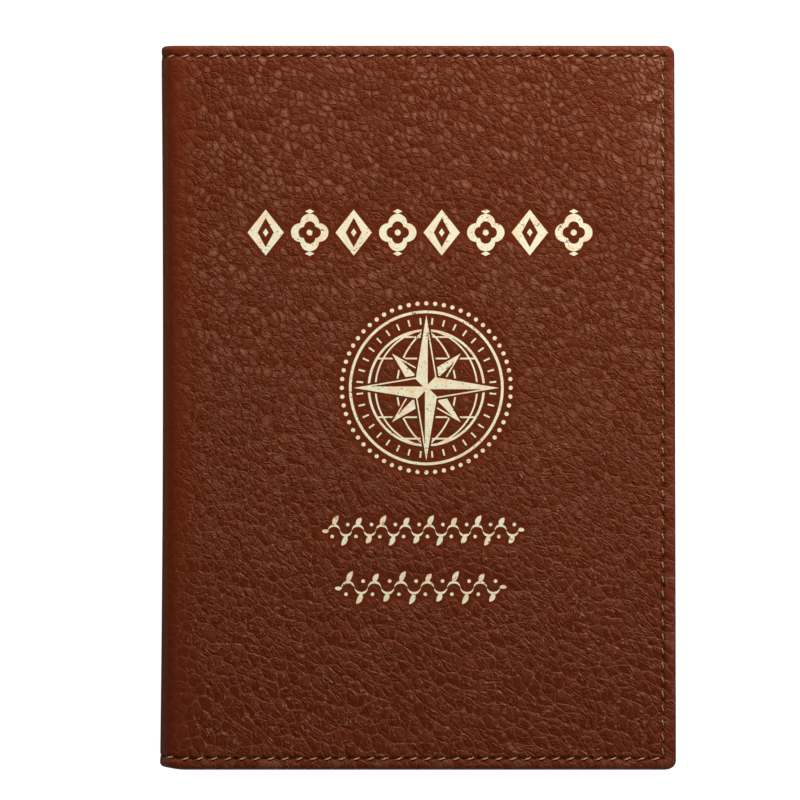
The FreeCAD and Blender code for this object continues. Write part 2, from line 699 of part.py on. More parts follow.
for thing in doc.Objects:
    if {"Invalid", "Error"} & set(thing.State):
        raise RuntimeError(f"{thing.Label} did not build: {thing.State}")
for part in parts:
    if part.Shape.isNull() or not part.Shape.isValid():
        raise RuntimeError(f"{part.Label} has no valid shape")

os.makedirs("parts", exist_ok=True)
for part in parts:
    part.Shape.exportStep(f"parts/{part.Label}.step")
    print(f"{part.Label}: {len(part.Shape.Solids)} solids, {part.Shape.Volume:.1f} mm3")
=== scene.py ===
"""Visual model of a folding leather passport case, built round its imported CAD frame.

The case lies closed on its back cover, with the spine at -X, the fore edge at +X and the
front cover facing +Z. Most pieces are laid out on the flat hide first: s is the distance
along the hide from the middle of the spine (plus towards the front cover, minus towards the
back cover), y is the height and depth is the distance under the outer face. fold_over()
then folds those points into the closed case. The hide's sizes are in millimetres.
"""
from math import cos, pi, radians, sin, tau

import bmesh
import bpy
import numpy as np
from bpy.props import FloatProperty, FloatVectorProperty, PointerProperty
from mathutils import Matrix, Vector
from mathutils.bvhtree import BVHTree


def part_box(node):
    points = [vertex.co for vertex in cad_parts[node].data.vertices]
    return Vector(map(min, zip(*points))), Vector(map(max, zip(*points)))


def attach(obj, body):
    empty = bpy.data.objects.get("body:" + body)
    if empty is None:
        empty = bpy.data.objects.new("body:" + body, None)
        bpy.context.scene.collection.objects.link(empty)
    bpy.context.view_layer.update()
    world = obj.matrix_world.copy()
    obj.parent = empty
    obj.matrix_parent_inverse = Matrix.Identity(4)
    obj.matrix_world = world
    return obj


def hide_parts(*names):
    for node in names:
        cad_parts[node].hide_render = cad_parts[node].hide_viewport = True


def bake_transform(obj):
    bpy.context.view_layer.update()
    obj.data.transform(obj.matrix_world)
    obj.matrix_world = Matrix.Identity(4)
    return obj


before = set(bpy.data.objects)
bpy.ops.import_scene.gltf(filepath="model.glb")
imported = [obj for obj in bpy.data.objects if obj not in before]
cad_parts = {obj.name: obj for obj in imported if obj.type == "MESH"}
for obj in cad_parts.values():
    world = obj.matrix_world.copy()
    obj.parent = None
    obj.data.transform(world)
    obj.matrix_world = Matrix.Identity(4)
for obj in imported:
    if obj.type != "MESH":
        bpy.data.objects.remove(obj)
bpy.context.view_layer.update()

bl_info = {
    "name": "Passport case",
    "version": (1, 0, 0),
    "blender": (4, 5, 0),
    "location": "3D View > Sidebar > Passport case",
    "description": "Builds a folding leather passport case round its CAD frame",
    "category": "Object",
}

MM = 0.001

# The case, from the frame
SPINE_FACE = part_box("spine_leather")[0].x / MM
FORE_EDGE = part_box("front_leather")[1].x / MM
TOP_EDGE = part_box("front_leather")[1].y / MM
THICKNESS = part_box("front_leather")[1].z / MM
BOARD_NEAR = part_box("front_board")[0].x / MM
LINING_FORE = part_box("front_lining")[1].x / MM
LINING_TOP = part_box("front_lining")[1].y / MM
POCKET_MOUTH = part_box("front_pocket")[0].x / MM
POCKET_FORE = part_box("front_pocket")[1].x / MM
POCKET_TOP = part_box("front_pocket")[1].y / MM

# Layers of a cover, as depths under its outer face
LEATHER_INSIDE = 1.0
BOARD_INSIDE = 1.4
LINING_INSIDE = 1.7
HEM_INSIDE = 2.3
POCKET_INSIDE = 3.0
FOLD_DROP = BOARD_INSIDE - LEATHER_INSIDE   # the layers sink this much where the board ends

FOLD_RADIUS = 3.2
SPINE_HALF = THICKNESS / 2 - FOLD_RADIUS    # flat half of the spine
FOLD_END = SPINE_HALF + FOLD_RADIUS * pi / 2
FOLD_LINE = SPINE_FACE + FOLD_RADIUS
BOARD_START = FOLD_END + BOARD_NEAR - FOLD_LINE
HIDE_REACH = FOLD_END + FORE_EDGE - FOLD_LINE

# Rims and hems
CORNER_RADIUS = 1.8
CORNER_POINTS = 5                   # points round a panel's corner
EDGE_RADIUS = 0.9
HEM_RADIUS = 0.4
HEM_WIDTH = 7.0
HEM_LINES = (0.8, 1.2, 1.6, 1.85, 2.1, 2.35, 2.6, 2.85, 3.3, 4.0, 4.7, 5.4, 6.1, 6.7)
HEM_THIN = 0.12                     # a hem's cut edge is pared this much thinner
RIM_THICK = 1.1

# Pocket panels and lining
POCKET_EDGE = 0.22                  # radius of a panel's edge
POCKET_INSET = 1.4                  # the even grid ends this far inside the edge
POCKET_BOW = 0.22                   # how far its mouth bows into the cover
POCKET_BESIDE = (-0.9, -0.45, -0.2, 0.0, 0.2)
MOUTH_BESIDE = (-0.45, -0.2, 0.0, 0.2, 0.45)
LINING_INSET = 0.1
LINING_FINE = 0.5                   # the lining's mesh round the fold
LINING_PLAIN = 1.6                  # and on the board
PUCKER = 0.03                       # height of the lining's puckers at the fold

# The closed case's own irregularities
SPINE_BOW = (0.08, 0.14, -0.42)     # the spine face's bow inwards: constant, tilt, curve
FORE_LEAN = 0.15                    # the fore edge stands this far out, twice at the bottom
FORE_LEAN_RUN = 1.0                 # from this far inside the lining's fore edge
TAIL_NIP = 0.50                     # the spine's bottom corner is pulled up this far
TAIL_NIP_START = 60                 # from this far below the middle
TAIL_NIP_RUN = 11                   # and over this height

# Sewing
END_ROW = TOP_EDGE - 2.3
FORE_ROW = HIDE_REACH - 2.4
CORNER_STITCHES = 36
FORE_STITCHES = 49
MOUTH_STITCHES = 45
PITCH = FORE_ROW / (CORNER_STITCHES + 0.5)
FORE_PITCH = 2 * END_ROW / FORE_STITCHES
MOUTH_ROW = POCKET_MOUTH + 2.0
FORE_SUNK = 0.17                    # the fore-edge row is pulled in deeper
FORE_SHADE = 0.45                   # and its thread gets this much painted shade
FOLD_SUNK = 0.16                    # so are the stitches on the fold
LAST_FOLD_STITCH = 2                # stitches up to this one lie inside on the fold
LAST_HEM_STITCH = 11                # and up to this one on the hem
TROUGH = 0.42                       # half width of the dent along a row
HOLE_DENT = 0.28                    # the outer leather's dent is this much deeper at a hole
HOLE = 0.3                          # radius of the dent round a needle hole
ROW_SPARE = 0.3                     # a row's dent runs this far past its last stitch
THREAD_RINGS = 13                   # rings of points along a stitch
THREAD_SIDES = 10
PLY_TWIST = 2.6
STITCH_DIVE = 0.60                  # a stitch's ends go this deep into their holes
UPRIGHT_LEAN = 0.6                  # the upright rows' stitches lean less
BESIDE_ROW = (-1.0, -0.7, -0.45, -0.22, 0.0, 0.22, 0.42)    # extra mesh lines by a row

# The grain, laid out on the hide
GRAIN_MIDDLE = 45.0                 # the pebbles' pattern starts from here
GRAIN_SWAYS = ((2.8, 1.1), (18.0, 5.0))     # size of each wandering, and how far it goes
SMALLER_ACROSS = 0.0030             # pebbles shrink by this share for a millimetre of height
SMALLER_UP = 0.0020
PEBBLE_JITTER = 0.92
PEBBLE_CLIMB = radians(60)          # each pebble climbs this way, and drops off steeply
LEAN_SLOPE = 0.42
DOME_FALL = 1.8                     # how fast a pebble falls off round its middle
WRINKLES = 2.3                      # wrinkles in a pebble's length
STEEP_STROKE = radians(-58)         # fine strokes run in these two directions
SHALLOW_STROKE = radians(-24)
STROKE_THINNESS = 2.2
STROKE_MIDDLE = 0.57                # the strokes' height that is level with the pebbles

# Foil
FOIL_NODES = ("foil_title_band", "foil_emblem", "foil_upper_flourish", "foil_lower_flourish")
FOIL_MARGIN = 2.0
STAMP_EDGE = 0.5                    # the stamp presses fully as far out as this
STAMP_RUN = 0.9                     # and less and less over this
STAMPED_SKIN = 0.6                  # it touches the leather this near to the top face
FOIL_CELL = 0.75                    # longest edge of the foil's mesh
FOIL_SUNK = 0.2                     # share of the film that lies in the leather

# Stage, in metres. A lamp is (bearing from +X towards +Y, elevation, distance, size)
FLOOR_REACH = 3.0
FLOOR_BELOW = 0.3 * MM
FLOOR_GLOW = 0.92
ROOM_LIGHT = 0.05
KEY_LAMP = (60, 29, 0.52, 0.24)
FILL_LAMP = (130, 30, 0.80, 0.55)
LOW_LAMP = (290, 30, 0.80, 0.55)
LOW_SHARE = 0.5                     # the low lamp's power beside the fill lamp's
CAMERA_PLACE = (-3.6 * MM, 1.5 * MM)
LENS = 200
SENSOR = 36

SAME_PLACE = 5                      # digits of a millimetre in which two points are one
SHARP = radians(75)
FOIL_SHARP = radians(50)
LINE_GAP = 0.12                     # even lines nearer to a row's own lines are left out


def along_hide(x):
    """Distance along the hide of a place on a flat cover."""
    return FOLD_END + x - FOLD_LINE


# ---------------------------------------------------------------- settings

def length(name, description, millimetres):
    return FloatProperty(name=name, description=description, default=millimetres * MM,
                         min=0.0, max=0.02, precision=5, subtype="DISTANCE", unit="LENGTH")


def share(name, description, default, most=1.0):
    return FloatProperty(name=name, description=description, default=default,
                         min=0.0, max=most, subtype="FACTOR")


def dye(name, description, default):
    return FloatVectorProperty(name=name, description=description, default=default,
                               min=0.0, max=1.0, size=3, subtype="COLOR")


class PASSPORTCASE_PG_leather(bpy.types.PropertyGroup):
    pebble_length: length("Pebble length", "A pebble's side along the steep creases", 2.0)
    pebble_width: length("Pebble width", "A pebble's side along the shallow creases", 1.75)
    steep_creases: FloatProperty(name="Steep creases", default=-76.0, min=-90.0, max=90.0,
                                 description="Slope of the steep creases, in degrees")
    shallow_creases: FloatProperty(name="Shallow creases", default=-7.0, min=-90.0, max=90.0,
                                   description="Slope of the shallow creases, in degrees")
    streaks: share("Streaks", "Height of the fine streaks beside that of the pebbles", 1.5,
                   most=3.0)
    relief: length("Grain depth", "Depth of the creases between the pebbles, cut in the mesh", 0.05)
    shaded_relief: length("Shaded grain depth", "Depth of the same creases in the material", 0.25)
    seam_dent: length("Seam dent", "How far a sewn row pulls the leather in", 0.17)
    press_depth: length("Stamp depth", "How far the foil stamp presses the leather in", 0.05)
    colour: dye("Leather", "Dye on the pebbles", (0.085, 0.0105, 0.0018))
    # also the painted shade in creases, stroke grooves, seams, holes, rim, fold and lower part, and
    # the real dark specks
    dark_dye_and_shade_colour: dye("Creases", "Dye gathered in the creases", (0.062, 0.0095, 0.0030))
    # painted highlight along the lower creases
    crease_highlight_colour: dye("Waxed creases", "Pale wax left in the lower creases", (0.170, 0.070, 0.042))
    # dye of rubbed leather, and also the painted highlights on pebble tops and strokes
    worn_and_glint_colour: dye("Rubbed leather", "Dye where the leather is rubbed", (0.190, 0.078, 0.046))
    roughness: share("Roughness", "Roughness of the pebbles' tops", 0.46)


class PASSPORTCASE_PG_inside(bpy.types.PropertyGroup):
    pocket_colour: dye("Pocket leather", "Dye of the pocket panels", (0.100, 0.0175, 0.0055))
    lining_colour: dye("Lining", "Warp yarn of the lining", (0.062, 0.022, 0.011))
    lining_light: dye("Lining light yarn", "Weft yarn of the lining", (0.160, 0.070, 0.042))
    twill_pitch: length("Twill pitch", "Distance between two twill lines", 0.80)
    board_colour: dye("Board", "Stiffening board", (0.45, 0.38, 0.29))


class PASSPORTCASE_PG_thread(bpy.types.PropertyGroup):
    thickness: length("Thread thickness", "Diameter of the sewing thread", 0.33)
    stitch: length("Stitch length", "Length of one stitch between its holes", 1.65)
    lean: length("Stitch lean", "How far a stitch's two ends lie to either side of the row", 0.55)
    colour: dye("Thread", "Sewing thread", (0.40, 0.175, 0.095))


class PASSPORTCASE_PG_foil(bpy.types.PropertyGroup):
    colour: dye("Foil", "Pale gold of the foil", (0.92, 0.83, 0.58))
    warm_colour: dye("Warm foil", "Peach patches of the foil", (0.90, 0.64, 0.36))
    cool_colour: dye("Cool foil", "Greenish patches of the foil", (0.78, 0.79, 0.55))
    film: length("Film", "Thickness of the foil on the leather", 0.05)
    worn_share: share("Wear", "Share of the foil that is rubbed off", 0.16)


class PASSPORTCASE_PG_stage(bpy.types.PropertyGroup):
    floor_colour: dye("Floor", "Pale floor", (0.60, 0.60, 0.60))
    key_power: FloatProperty(name="Key light", default=5.95, min=0.0, unit="POWER",
                             description="Power of the light at the upper right")
    fill_power: FloatProperty(name="Fill light", default=2.8, min=0.0, unit="POWER",
                              description="Power of the wide light at the upper left")
    camera_height: FloatProperty(name="Camera height", description="Camera above the front cover",
                                 default=0.8785, min=0.1, subtype="DISTANCE", unit="LENGTH")


# ---------------------------------------------------------------- nodes

class Wire:
    """A value on its way through a node tree. Arithmetic on it adds Math nodes."""

    def __init__(self, bench, socket):
        self.bench = bench
        self.socket = socket

    def __getitem__(self, name):
        return Wire(self.bench, self.socket.node.outputs[name])

    def maths(self, operation, *values):
        return self.bench.add("ShaderNodeMath", {"operation": operation},
                              dict(enumerate(values)))

    def __add__(self, other):
        return self.maths("ADD", self, other)

    def __radd__(self, other):
        return self.maths("ADD", other, self)

    def __sub__(self, other):
        return self.maths("SUBTRACT", self, other)

    def __rsub__(self, other):
        return self.maths("SUBTRACT", other, self)

    def __mul__(self, other):
        return self.maths("MULTIPLY", self, other)

    def __rmul__(self, other):
        return self.maths("MULTIPLY", other, self)

    def __truediv__(self, other):
        return self.maths("DIVIDE", self, other)

    def __rtruediv__(self, other):
        return self.maths("DIVIDE", other, self)

    def __mod__(self, other):
        return self.maths("FLOORED_MODULO", self, other)

    def __abs__(self):
        return self.maths("ABSOLUTE", self)

    def least(self, other):
        return self.maths("MINIMUM", self, other)

    def most(self, other):
        return self.maths("MAXIMUM", self, other)

    def sine(self):
        return self.maths("SINE", self)

    def rise(self, low, high, start=0.0, end=1.0):
        """Goes smoothly from start at low to end at high."""
        return self.bench.add("ShaderNodeMapRange", {"interpolation_type": "SMOOTHSTEP"},
                              {0: self, 1: low, 2: high, 3: start, 4: end})


class Bench:
    """Adds nodes to a material's or a geometry modifier's tree."""

    def __init__(self, tree):
        self.tree = tree

    def add(self, kind, settings=None, values=None, output=0):
        """A node of that kind: its settings first, then its sockets' values or links."""
        node = self.tree.nodes.new(kind)
        for name, value in (settings or {}).items():
            setattr(node, name, value)
        for key, value in (values or {}).items():
            if isinstance(value, Wire):
                self.tree.links.new(value.socket, node.inputs[key])
            else:
                node.inputs[key].default_value = value
        return Wire(self, node.outputs[output]) if node.outputs else None

    def split(self, vector):
        return self.add("ShaderNodeSeparateXYZ", values={0: vector})

    def join(self, x, y, z=0.0):
        return self.add("ShaderNodeCombineXYZ", values={0: x, 1: y, 2: z})

    def vector(self, operation, first, second=None, scale=None):
        values = {0: first}
        if second is not None:
            values[1] = second
        if scale is not None:
            values[3] = scale
        return self.add("ShaderNodeVectorMath", {"operation": operation}, values)

    def noise(self, at, size, detail=2.0, roughness=0.5):
        """Soft noise whose blotches are about size across; 0 to 1."""
        return self.add("ShaderNodeTexNoise",
                        values={"Vector": at, "Scale": 1.0 / size, "Detail": detail,
                                "Roughness": roughness})

    def voronoi(self, at, feature, jitter):
        """Flat cells one unit wide."""
        return self.add("ShaderNodeTexVoronoi", {"feature": feature, "voronoi_dimensions": "2D"},
                        {"Vector": at, "Scale": 1.0, "Randomness": jitter})

    def blend(self, factor, first, second):
        """Mixes two colours."""
        first = first if isinstance(first, Wire) else (*first, 1.0)
        return self.add("ShaderNodeMix", {"data_type": "RGBA", "clamp_factor": True},
                        {0: factor, 6: first, 7: (*second, 1.0)}, output=2)

    def coats(self, colour, coats):
        """Lays coats over a colour, one after the other. A coat is (mask, colour)."""
        for mask, coat in coats:
            colour = self.blend(mask, colour, coat)
        return colour


class Finish(Bench):
    """A new material with one Principled shader."""

    def __init__(self, name, **constants):
        self.material = bpy.data.materials.new(name)
        self.material.use_nodes = True
        super().__init__(self.material.node_tree)
        self.tree.nodes.clear()
        values = {socket.replace("_", " "): value for socket, value in constants.items()}
        shader = self.add("ShaderNodeBsdfPrincipled", values=values)
        self.add("ShaderNodeOutputMaterial", values={"Surface": shader})
        self.shader = shader.socket.node

    def attribute(self, name):
        return self.add("ShaderNodeAttribute", {"attribute_name": name})

    def place(self):
        """Object coordinates in millimetres."""
        at = self.add("ShaderNodeTexCoord")["Object"]
        return self.vector("SCALE", at, scale=1.0 / MM)

    def feed(self, colour, roughness, height=None, metallic=None):
        """Links what varies. height is in millimetres."""
        links = {"Base Color": colour, "Roughness": roughness, "Metallic": metallic}
        if height is not None:
            links["Normal"] = self.add("ShaderNodeBump", values={
                "Strength": 1.0, "Distance": MM, "Height": height})
        for socket, wire in links.items():
            if wire is not None:
                self.tree.links.new(wire.socket, self.shader.inputs[socket])
        return self.material


def dim(colour, share_left):
    """The same dye, darker."""
    return tuple(share_left * part for part in colour)


# ---------------------------------------------------------------- the fold

def smooth(t):
    """Goes from 0 to 1 with t, level at both ends."""
    t = np.clip(t, 0.0, 1.0)
    return t * t * (3 - 2 * t)


def fold_over(s, y, depth):
    """Folds points of the flat hide into the closed case. All in millimetres."""
    s, y, depth = np.broadcast_arrays(np.asarray(s, float), y, depth)
    side = np.where(s < 0, -1.0, 1.0)
    run = np.abs(s)
    turn = np.clip((run - SPINE_HALF) / FOLD_RADIUS, 0, pi / 2)
    reach = FOLD_RADIUS - depth
    x = FOLD_LINE - reach * np.cos(turn) + np.clip(run - FOLD_END, 0, None)
    z = THICKNESS - FOLD_RADIUS - np.clip(SPINE_HALF - run, 0, None) + reach * np.sin(turn)
    height = y / TOP_EDGE
    from_spine = x - SPINE_FACE
    flat_start = BOARD_NEAR - SPINE_FACE
    near_spine = 1 - smooth(from_spine / flat_start)
    near_fore = smooth((x - LINING_FORE + FORE_LEAN_RUN)
                       / (FORE_EDGE - LINING_FORE + FORE_LEAN_RUN))
    bow = SPINE_BOW[0] + SPINE_BOW[1] * height + SPINE_BOW[2] * height**2
    x = x + near_spine * bow + near_fore * FORE_LEAN * (1 - height)
    nip = TAIL_NIP * near_spine * smooth((-y - TAIL_NIP_START) / TAIL_NIP_RUN)
    return np.stack([x, y + nip, THICKNESS / 2 + side * (z - THICKNESS / 2)], axis=-1)


def outward(s):
    """Direction out of the hide's outer face."""
    s = np.asarray(s, float)
    turn = np.clip((np.abs(s) - SPINE_HALF) / FOLD_RADIUS, 0, pi / 2)
    return np.stack([-np.cos(turn), 0 * s, np.where(s < 0, -1.0, 1.0) * np.sin(turn)], axis=-1)


def fold_drop(s):
    """How far the inner layers sink towards the leather where the board ends."""
    return FOLD_DROP * (1 - smooth((np.abs(s) - FOLD_END) / (BOARD_START - FOLD_END)))


# ---------------------------------------------------------------- meshes

def new_piece(name, points, faces, material, attributes):
    """A mesh object from points in millimetres, with no stray point and no double point."""
    points = np.asarray(points, float).reshape(-1, 3)
    _, first, same = np.unique(np.round(points, SAME_PLACE), axis=0, return_index=True,
                               return_inverse=True)
    same = same.reshape(-1)
    kept = []
    for face in faces:
        face = list(dict.fromkeys(same[list(face)].tolist()))
        if len(face) > 2:
            kept.append(face)
    mesh = bpy.data.meshes.new(name)
    mesh.from_pydata((points[first] * MM).tolist(), [], kept)
    for key, values in attributes.items():
        values = np.asarray(values, np.float32)[first]
        kind, slot = ("FLOAT_VECTOR", "vector") if values.ndim == 2 else ("FLOAT", "value")
        layer = mesh.attributes.new(key, kind, "POINT")
        layer.data.foreach_set(slot, values.ravel())
    mesh.validate()
    turn_outward(mesh)
    mesh.shade_smooth()
    mesh.set_sharp_from_angle(angle=SHARP)
    return placed(name, mesh, material)


def placed(name, mesh, material):
    """A mesh in the scene, as an object with that material."""
    mesh.materials.append(material)
    piece = bpy.data.objects.new(name, mesh)
    bpy.context.scene.collection.objects.link(piece)
    return piece


def turn_outward(mesh):
    """Turns every face over if the closed mesh is inside out."""
    mesh.calc_loop_triangles()
    corners = np.empty(len(mesh.loop_triangles) * 3, np.int32)
    mesh.loop_triangles.foreach_get("vertices", corners)
    places = np.empty(len(mesh.vertices) * 3)
    mesh.vertices.foreach_get("co", places)
    a, b, c = (places.reshape(-1, 3)[corners.reshape(-1, 3)[:, i]] for i in range(3))
    if (a * np.cross(b, c)).sum() < 0:
        mesh.flip_normals()


def stations(start, end, step):
    """Even places from start to end, about step apart."""
    return np.linspace(start, end, max(2, round((end - start) / step) + 1))


def hole_stations(start, end, pitch, first, parts):
    """Places a part of a stitch apart, so that every stitch hole falls on one."""
    step = pitch / parts
    spare = 0.3                     # share of a step kept clear beside start and end
    low = int(np.ceil((start - first) / step + spare))
    high = int(np.floor((end - first) / step - spare))
    return np.array([start, *(first + step * np.arange(low, high + 1)), end])


def add_lines(lines, row, offsets):
    """Puts extra lines beside a sewn row, in place of the even ones there."""
    near = row + np.array(offsets)
    kept = [p for p in lines if np.abs(near - p).min() > LINE_GAP]
    return np.array(sorted([*kept, *near[(near > lines[0]) & (near < lines[-1])]]))


def panel(s_lines, y_lines, profile, layer, whole):
    """Points and faces of a panel: a grid, rings of points round its border and its back.

    profile lists each ring as (step out from the grid, depth, step along the skin).
    A step out below zero lies inside the grid's border. layer is the grid's depth.
    A panel that isn't whole ends with a cut across the middle of the spine."""
    rows, columns = len(s_lines), len(y_lines)
    s, y = (axis.ravel() for axis in np.meshgrid(s_lines, y_lines, indexing="ij"))
    grid = np.arange(rows * columns).reshape(rows, columns)
    faces = np.stack([grid[:-1, :-1], grid[1:, :-1], grid[1:, 1:], grid[:-1, 1:]],
                     axis=-1).reshape(-1, 4).tolist()

    def corner(at_s, at_y, start):
        turns = [start + k * pi / 2 / (CORNER_POINTS - 1) for k in range(1, CORNER_POINTS - 1)]
        return [(at_s, at_y, cos(turn), sin(turn)) for turn in turns]

    low, high, near, far = y_lines[0], y_lines[-1], s_lines[0], s_lines[-1]
    bottom = [(p, low, 0.0, -1.0) for p in s_lines]
    fore = [(far, p, 1.0, 0.0) for p in y_lines]
    top = [(p, high, 0.0, 1.0) for p in s_lines[::-1]]
    loop = bottom + corner(far, low, -pi / 2) + fore + corner(far, high, 0.0) + top
    if whole:
        mouth = [(near, p, -1.0, 0.0) for p in y_lines[::-1]]
        loop += corner(near, high, pi / 2) + mouth + corner(near, low, pi)
    loop = np.array(loop)
    size = len(loop)
    all_s, all_y = [s], [y]
    all_depth, all_u, all_v = [np.full(len(s), layer)], [s], [y]
    starts = []
    middle = (near + far) / 2 if whole else near
    for out, depth, along in profile:
        if out >= 0:
            ring_s = loop[:, 0] + out * loop[:, 2]
            ring_y = loop[:, 1] + out * loop[:, 3]
        else:
            ring_s = middle + (loop[:, 0] - middle) * (1 + out / (far - middle))
            ring_y = loop[:, 1] * (1 + out / high)
        starts.append(sum(len(part) for part in all_s))
        all_s.append(ring_s)
        all_y.append(ring_y)
        all_depth.append(np.full(size, depth))
        all_u.append(loop[:, 0] + along * loop[:, 2])
        all_v.append(loop[:, 1] + along * loop[:, 3])
    count = size if whole else size - 1
    for inside, outside in zip(starts[:-1], starts[1:]):
        for k in range(count):
            after = (k + 1) % size
            faces.append((outside + k, outside + after, inside + after, inside + k))
    last = starts[-1]
    lower = [last + k for k in range(rows)]
    first_top = rows + columns + 2 * (CORNER_POINTS - 2)
    upper = [last + first_top + rows - 1 - k for k in range(rows)]
    for k in range(rows - 1):
        faces.append((lower[k + 1], lower[k], upper[k], upper[k + 1]))
    faces.append([last + k for k in range(first_top, rows - 2, -1)])
    if whole:
        faces.append([last + k % size for k in range(size, first_top + rows - 2, -1)])
    else:
        edge = grid[0].tolist()
        faces.append(edge[:1] + starts[1:]
                     + [start + size - 1 for start in starts[:0:-1]] + edge[:0:-1])
    return [np.concatenate(part) for part in (all_s, all_y, all_depth, all_u, all_v)] + [faces]


def pocket_profile(radius, inset):
    """Rings that round a pocket panel's edge, from its seen face to its glued side."""
    flat = inset - radius
    rings = [(0.0, POCKET_INSIDE, 0.0), (flat, POCKET_INSIDE, flat)]
    for turn in (pi / 6, pi / 3, pi / 2):
        rings.append((flat + radius * sin(turn), POCKET_INSIDE - radius * (1 - cos(turn)),
                      flat + radius * turn))
    side = POCKET_INSIDE - HEM_INSIDE - radius
    rings.append((inset, HEM_INSIDE, flat + radius * pi / 2 + side))
    return rings


def swap_for_evaluated(piece):
    """Applies a piece's modifiers to its mesh."""
    graph = bpy.context.evaluated_depsgraph_get()
    made = bpy.data.meshes.new_from_object(piece.evaluated_get(graph),
                                           preserve_all_data_layers=True, depsgraph=graph)
    old = piece.data
    piece.modifiers.clear()
    piece.data = made
    made.name = old.name
    bpy.data.meshes.remove(old)


def seam_dent(s, y, depth, hole):
    """How far the sewn rows pull a surface in: a soft trough, deeper at the holes."""
    run = np.abs(s)
    to_end = np.abs(np.abs(y) - END_ROW)
    to_fore = np.abs(run - FORE_ROW)
    on_end = run < FORE_ROW + ROW_SPARE
    on_fore = np.abs(y) < END_ROW + ROW_SPARE
    trough = np.maximum(np.exp(-(to_end / TROUGH) ** 2) * on_end,
                        np.exp(-(to_fore / TROUGH) ** 2) * on_fore)
    end_hole = np.abs((run / PITCH) % 1.0 - 0.5) * PITCH
    fore_hole = np.abs(((y + END_ROW) / FORE_PITCH + 0.5) % 1.0 - 0.5) * FORE_PITCH
    holes = np.maximum(np.exp(-((to_end / HOLE) ** 2 + (end_hole / HOLE) ** 2)) * on_end,
                       np.exp(-((to_fore / HOLE) ** 2 + (fore_hole / HOLE) ** 2)) * on_fore)
    return depth * trough + hole * holes


# ---------------------------------------------------------------- leather

def strokes(bench, across, up, slope):
    """Short fine ridges that run one way over the hide."""
    along = across * cos(slope) + up * sin(slope)
    beside = up * cos(slope) - across * sin(slope)
    return bench.noise(bench.join(along + slope, beside * STROKE_THINNESS), 1.0, detail=3.0,
                       roughness=0.52)


def pebble_grain(bench, at, settings):
    """The pebbled grain at a place of the hide: its height, 0 in a crease and 1 on a pebble,
    the distance to the nearest crease, a number of the pebble's own, and the fine strokes."""
    place = bench.split(at)
    across, up = place["X"], place["Y"]
    for size, reach in GRAIN_SWAYS:
        sway = bench.split(bench.noise(at, size, detail=1.0)["Color"])
        across = across + (sway["X"] - 0.5) * reach
        up = up + (sway["Y"] - 0.5) * reach
    across = across - GRAIN_MIDDLE
    across = across * (1.0 + up * SMALLER_ACROSS)
    up = up * (1.0 + up * SMALLER_UP)
    # creases run mostly in two slanting directions, so the pebbles are lozenges
    steep, shallow = radians(settings.steep_creases), radians(settings.shallow_creases)
    pebble_length, pebble_width = settings.pebble_length / MM, settings.pebble_width / MM
    skew = sin(shallow - steep)
    along_steep = (across * sin(shallow) - up * cos(shallow)) / (skew * pebble_length)
    along_shallow = (up * cos(steep) - across * sin(steep)) / (skew * pebble_width)
    cells = bench.join(along_steep, along_shallow)
    edge = bench.voronoi(cells, "DISTANCE_TO_EDGE", PEBBLE_JITTER)
    nearest = bench.voronoi(cells, "F1", PEBBLE_JITTER)
    off = bench.split(bench.vector("SUBTRACT", cells, nearest["Position"]))
    climb = (off["X"] * (pebble_length * cos(PEBBLE_CLIMB - steep))
             + off["Y"] * (pebble_width * cos(PEBBLE_CLIMB - shallow)))
    lean = (0.5 + climb * LEAN_SLOPE).least(1.0).most(0.0)
    dome = (1.0 - nearest * nearest * DOME_FALL).most(0.0)
    pebble = dome * 0.65 + edge.rise(0.0, 0.12) * 0.35
    # in patches the pebbles are wrinkled
    patch = bench.noise(at, 5.0, detail=1.0).rise(0.40, 0.60)
    wrinkle = bench.voronoi(bench.vector("SCALE", cells, scale=WRINKLES), "DISTANCE_TO_EDGE",
                            1.0).rise(0.0, 0.25)
    height = pebble * (0.58 + 0.42 * lean) * (1.0 - 0.45 * patch + 0.45 * patch * wrinkle)
    # the strokes are strongest half way up the case
    streak = strokes(bench, across, up, STEEP_STROKE).most(
        strokes(bench, across, up, SHALLOW_STROKE))
    streaked = abs(place["Y"]).rise(60.0, 10.0, 0.7, 1.1) * settings.streaks
    chance = bench.split(nearest["Color"])["X"]
    return height + (streak - STROKE_MIDDLE) * streaked, edge, chance, streak


def leather_relief(settings):
    """A geometry modifier that sinks the creases of the grain into the leather."""
    tree = bpy.data.node_groups.new("pebbled_relief", "GeometryNodeTree")
    tree.interface.new_socket("Geometry", in_out="INPUT", socket_type="NodeSocketGeometry")
    tree.interface.new_socket("Geometry", in_out="OUTPUT", socket_type="NodeSocketGeometry")
    bench = Bench(tree)
    skin = bench.add("NodeGroupInput")

    def stored(name, kind):
        return bench.add("GeometryNodeInputNamedAttribute", {"data_type": kind}, {"Name": name})

    height = pebble_grain(bench, stored("hide_at", "FLOAT_VECTOR"), settings)[0]
    sink = (height - 1.0) * stored("grain_share", "FLOAT") * settings.relief
    offset = bench.vector("SCALE", stored("out_way", "FLOAT_VECTOR"), scale=sink)
    moved = bench.add("GeometryNodeSetPosition", values={"Geometry": skin, "Offset": offset})
    bench.add("NodeGroupOutput", values={0: moved})
    return tree


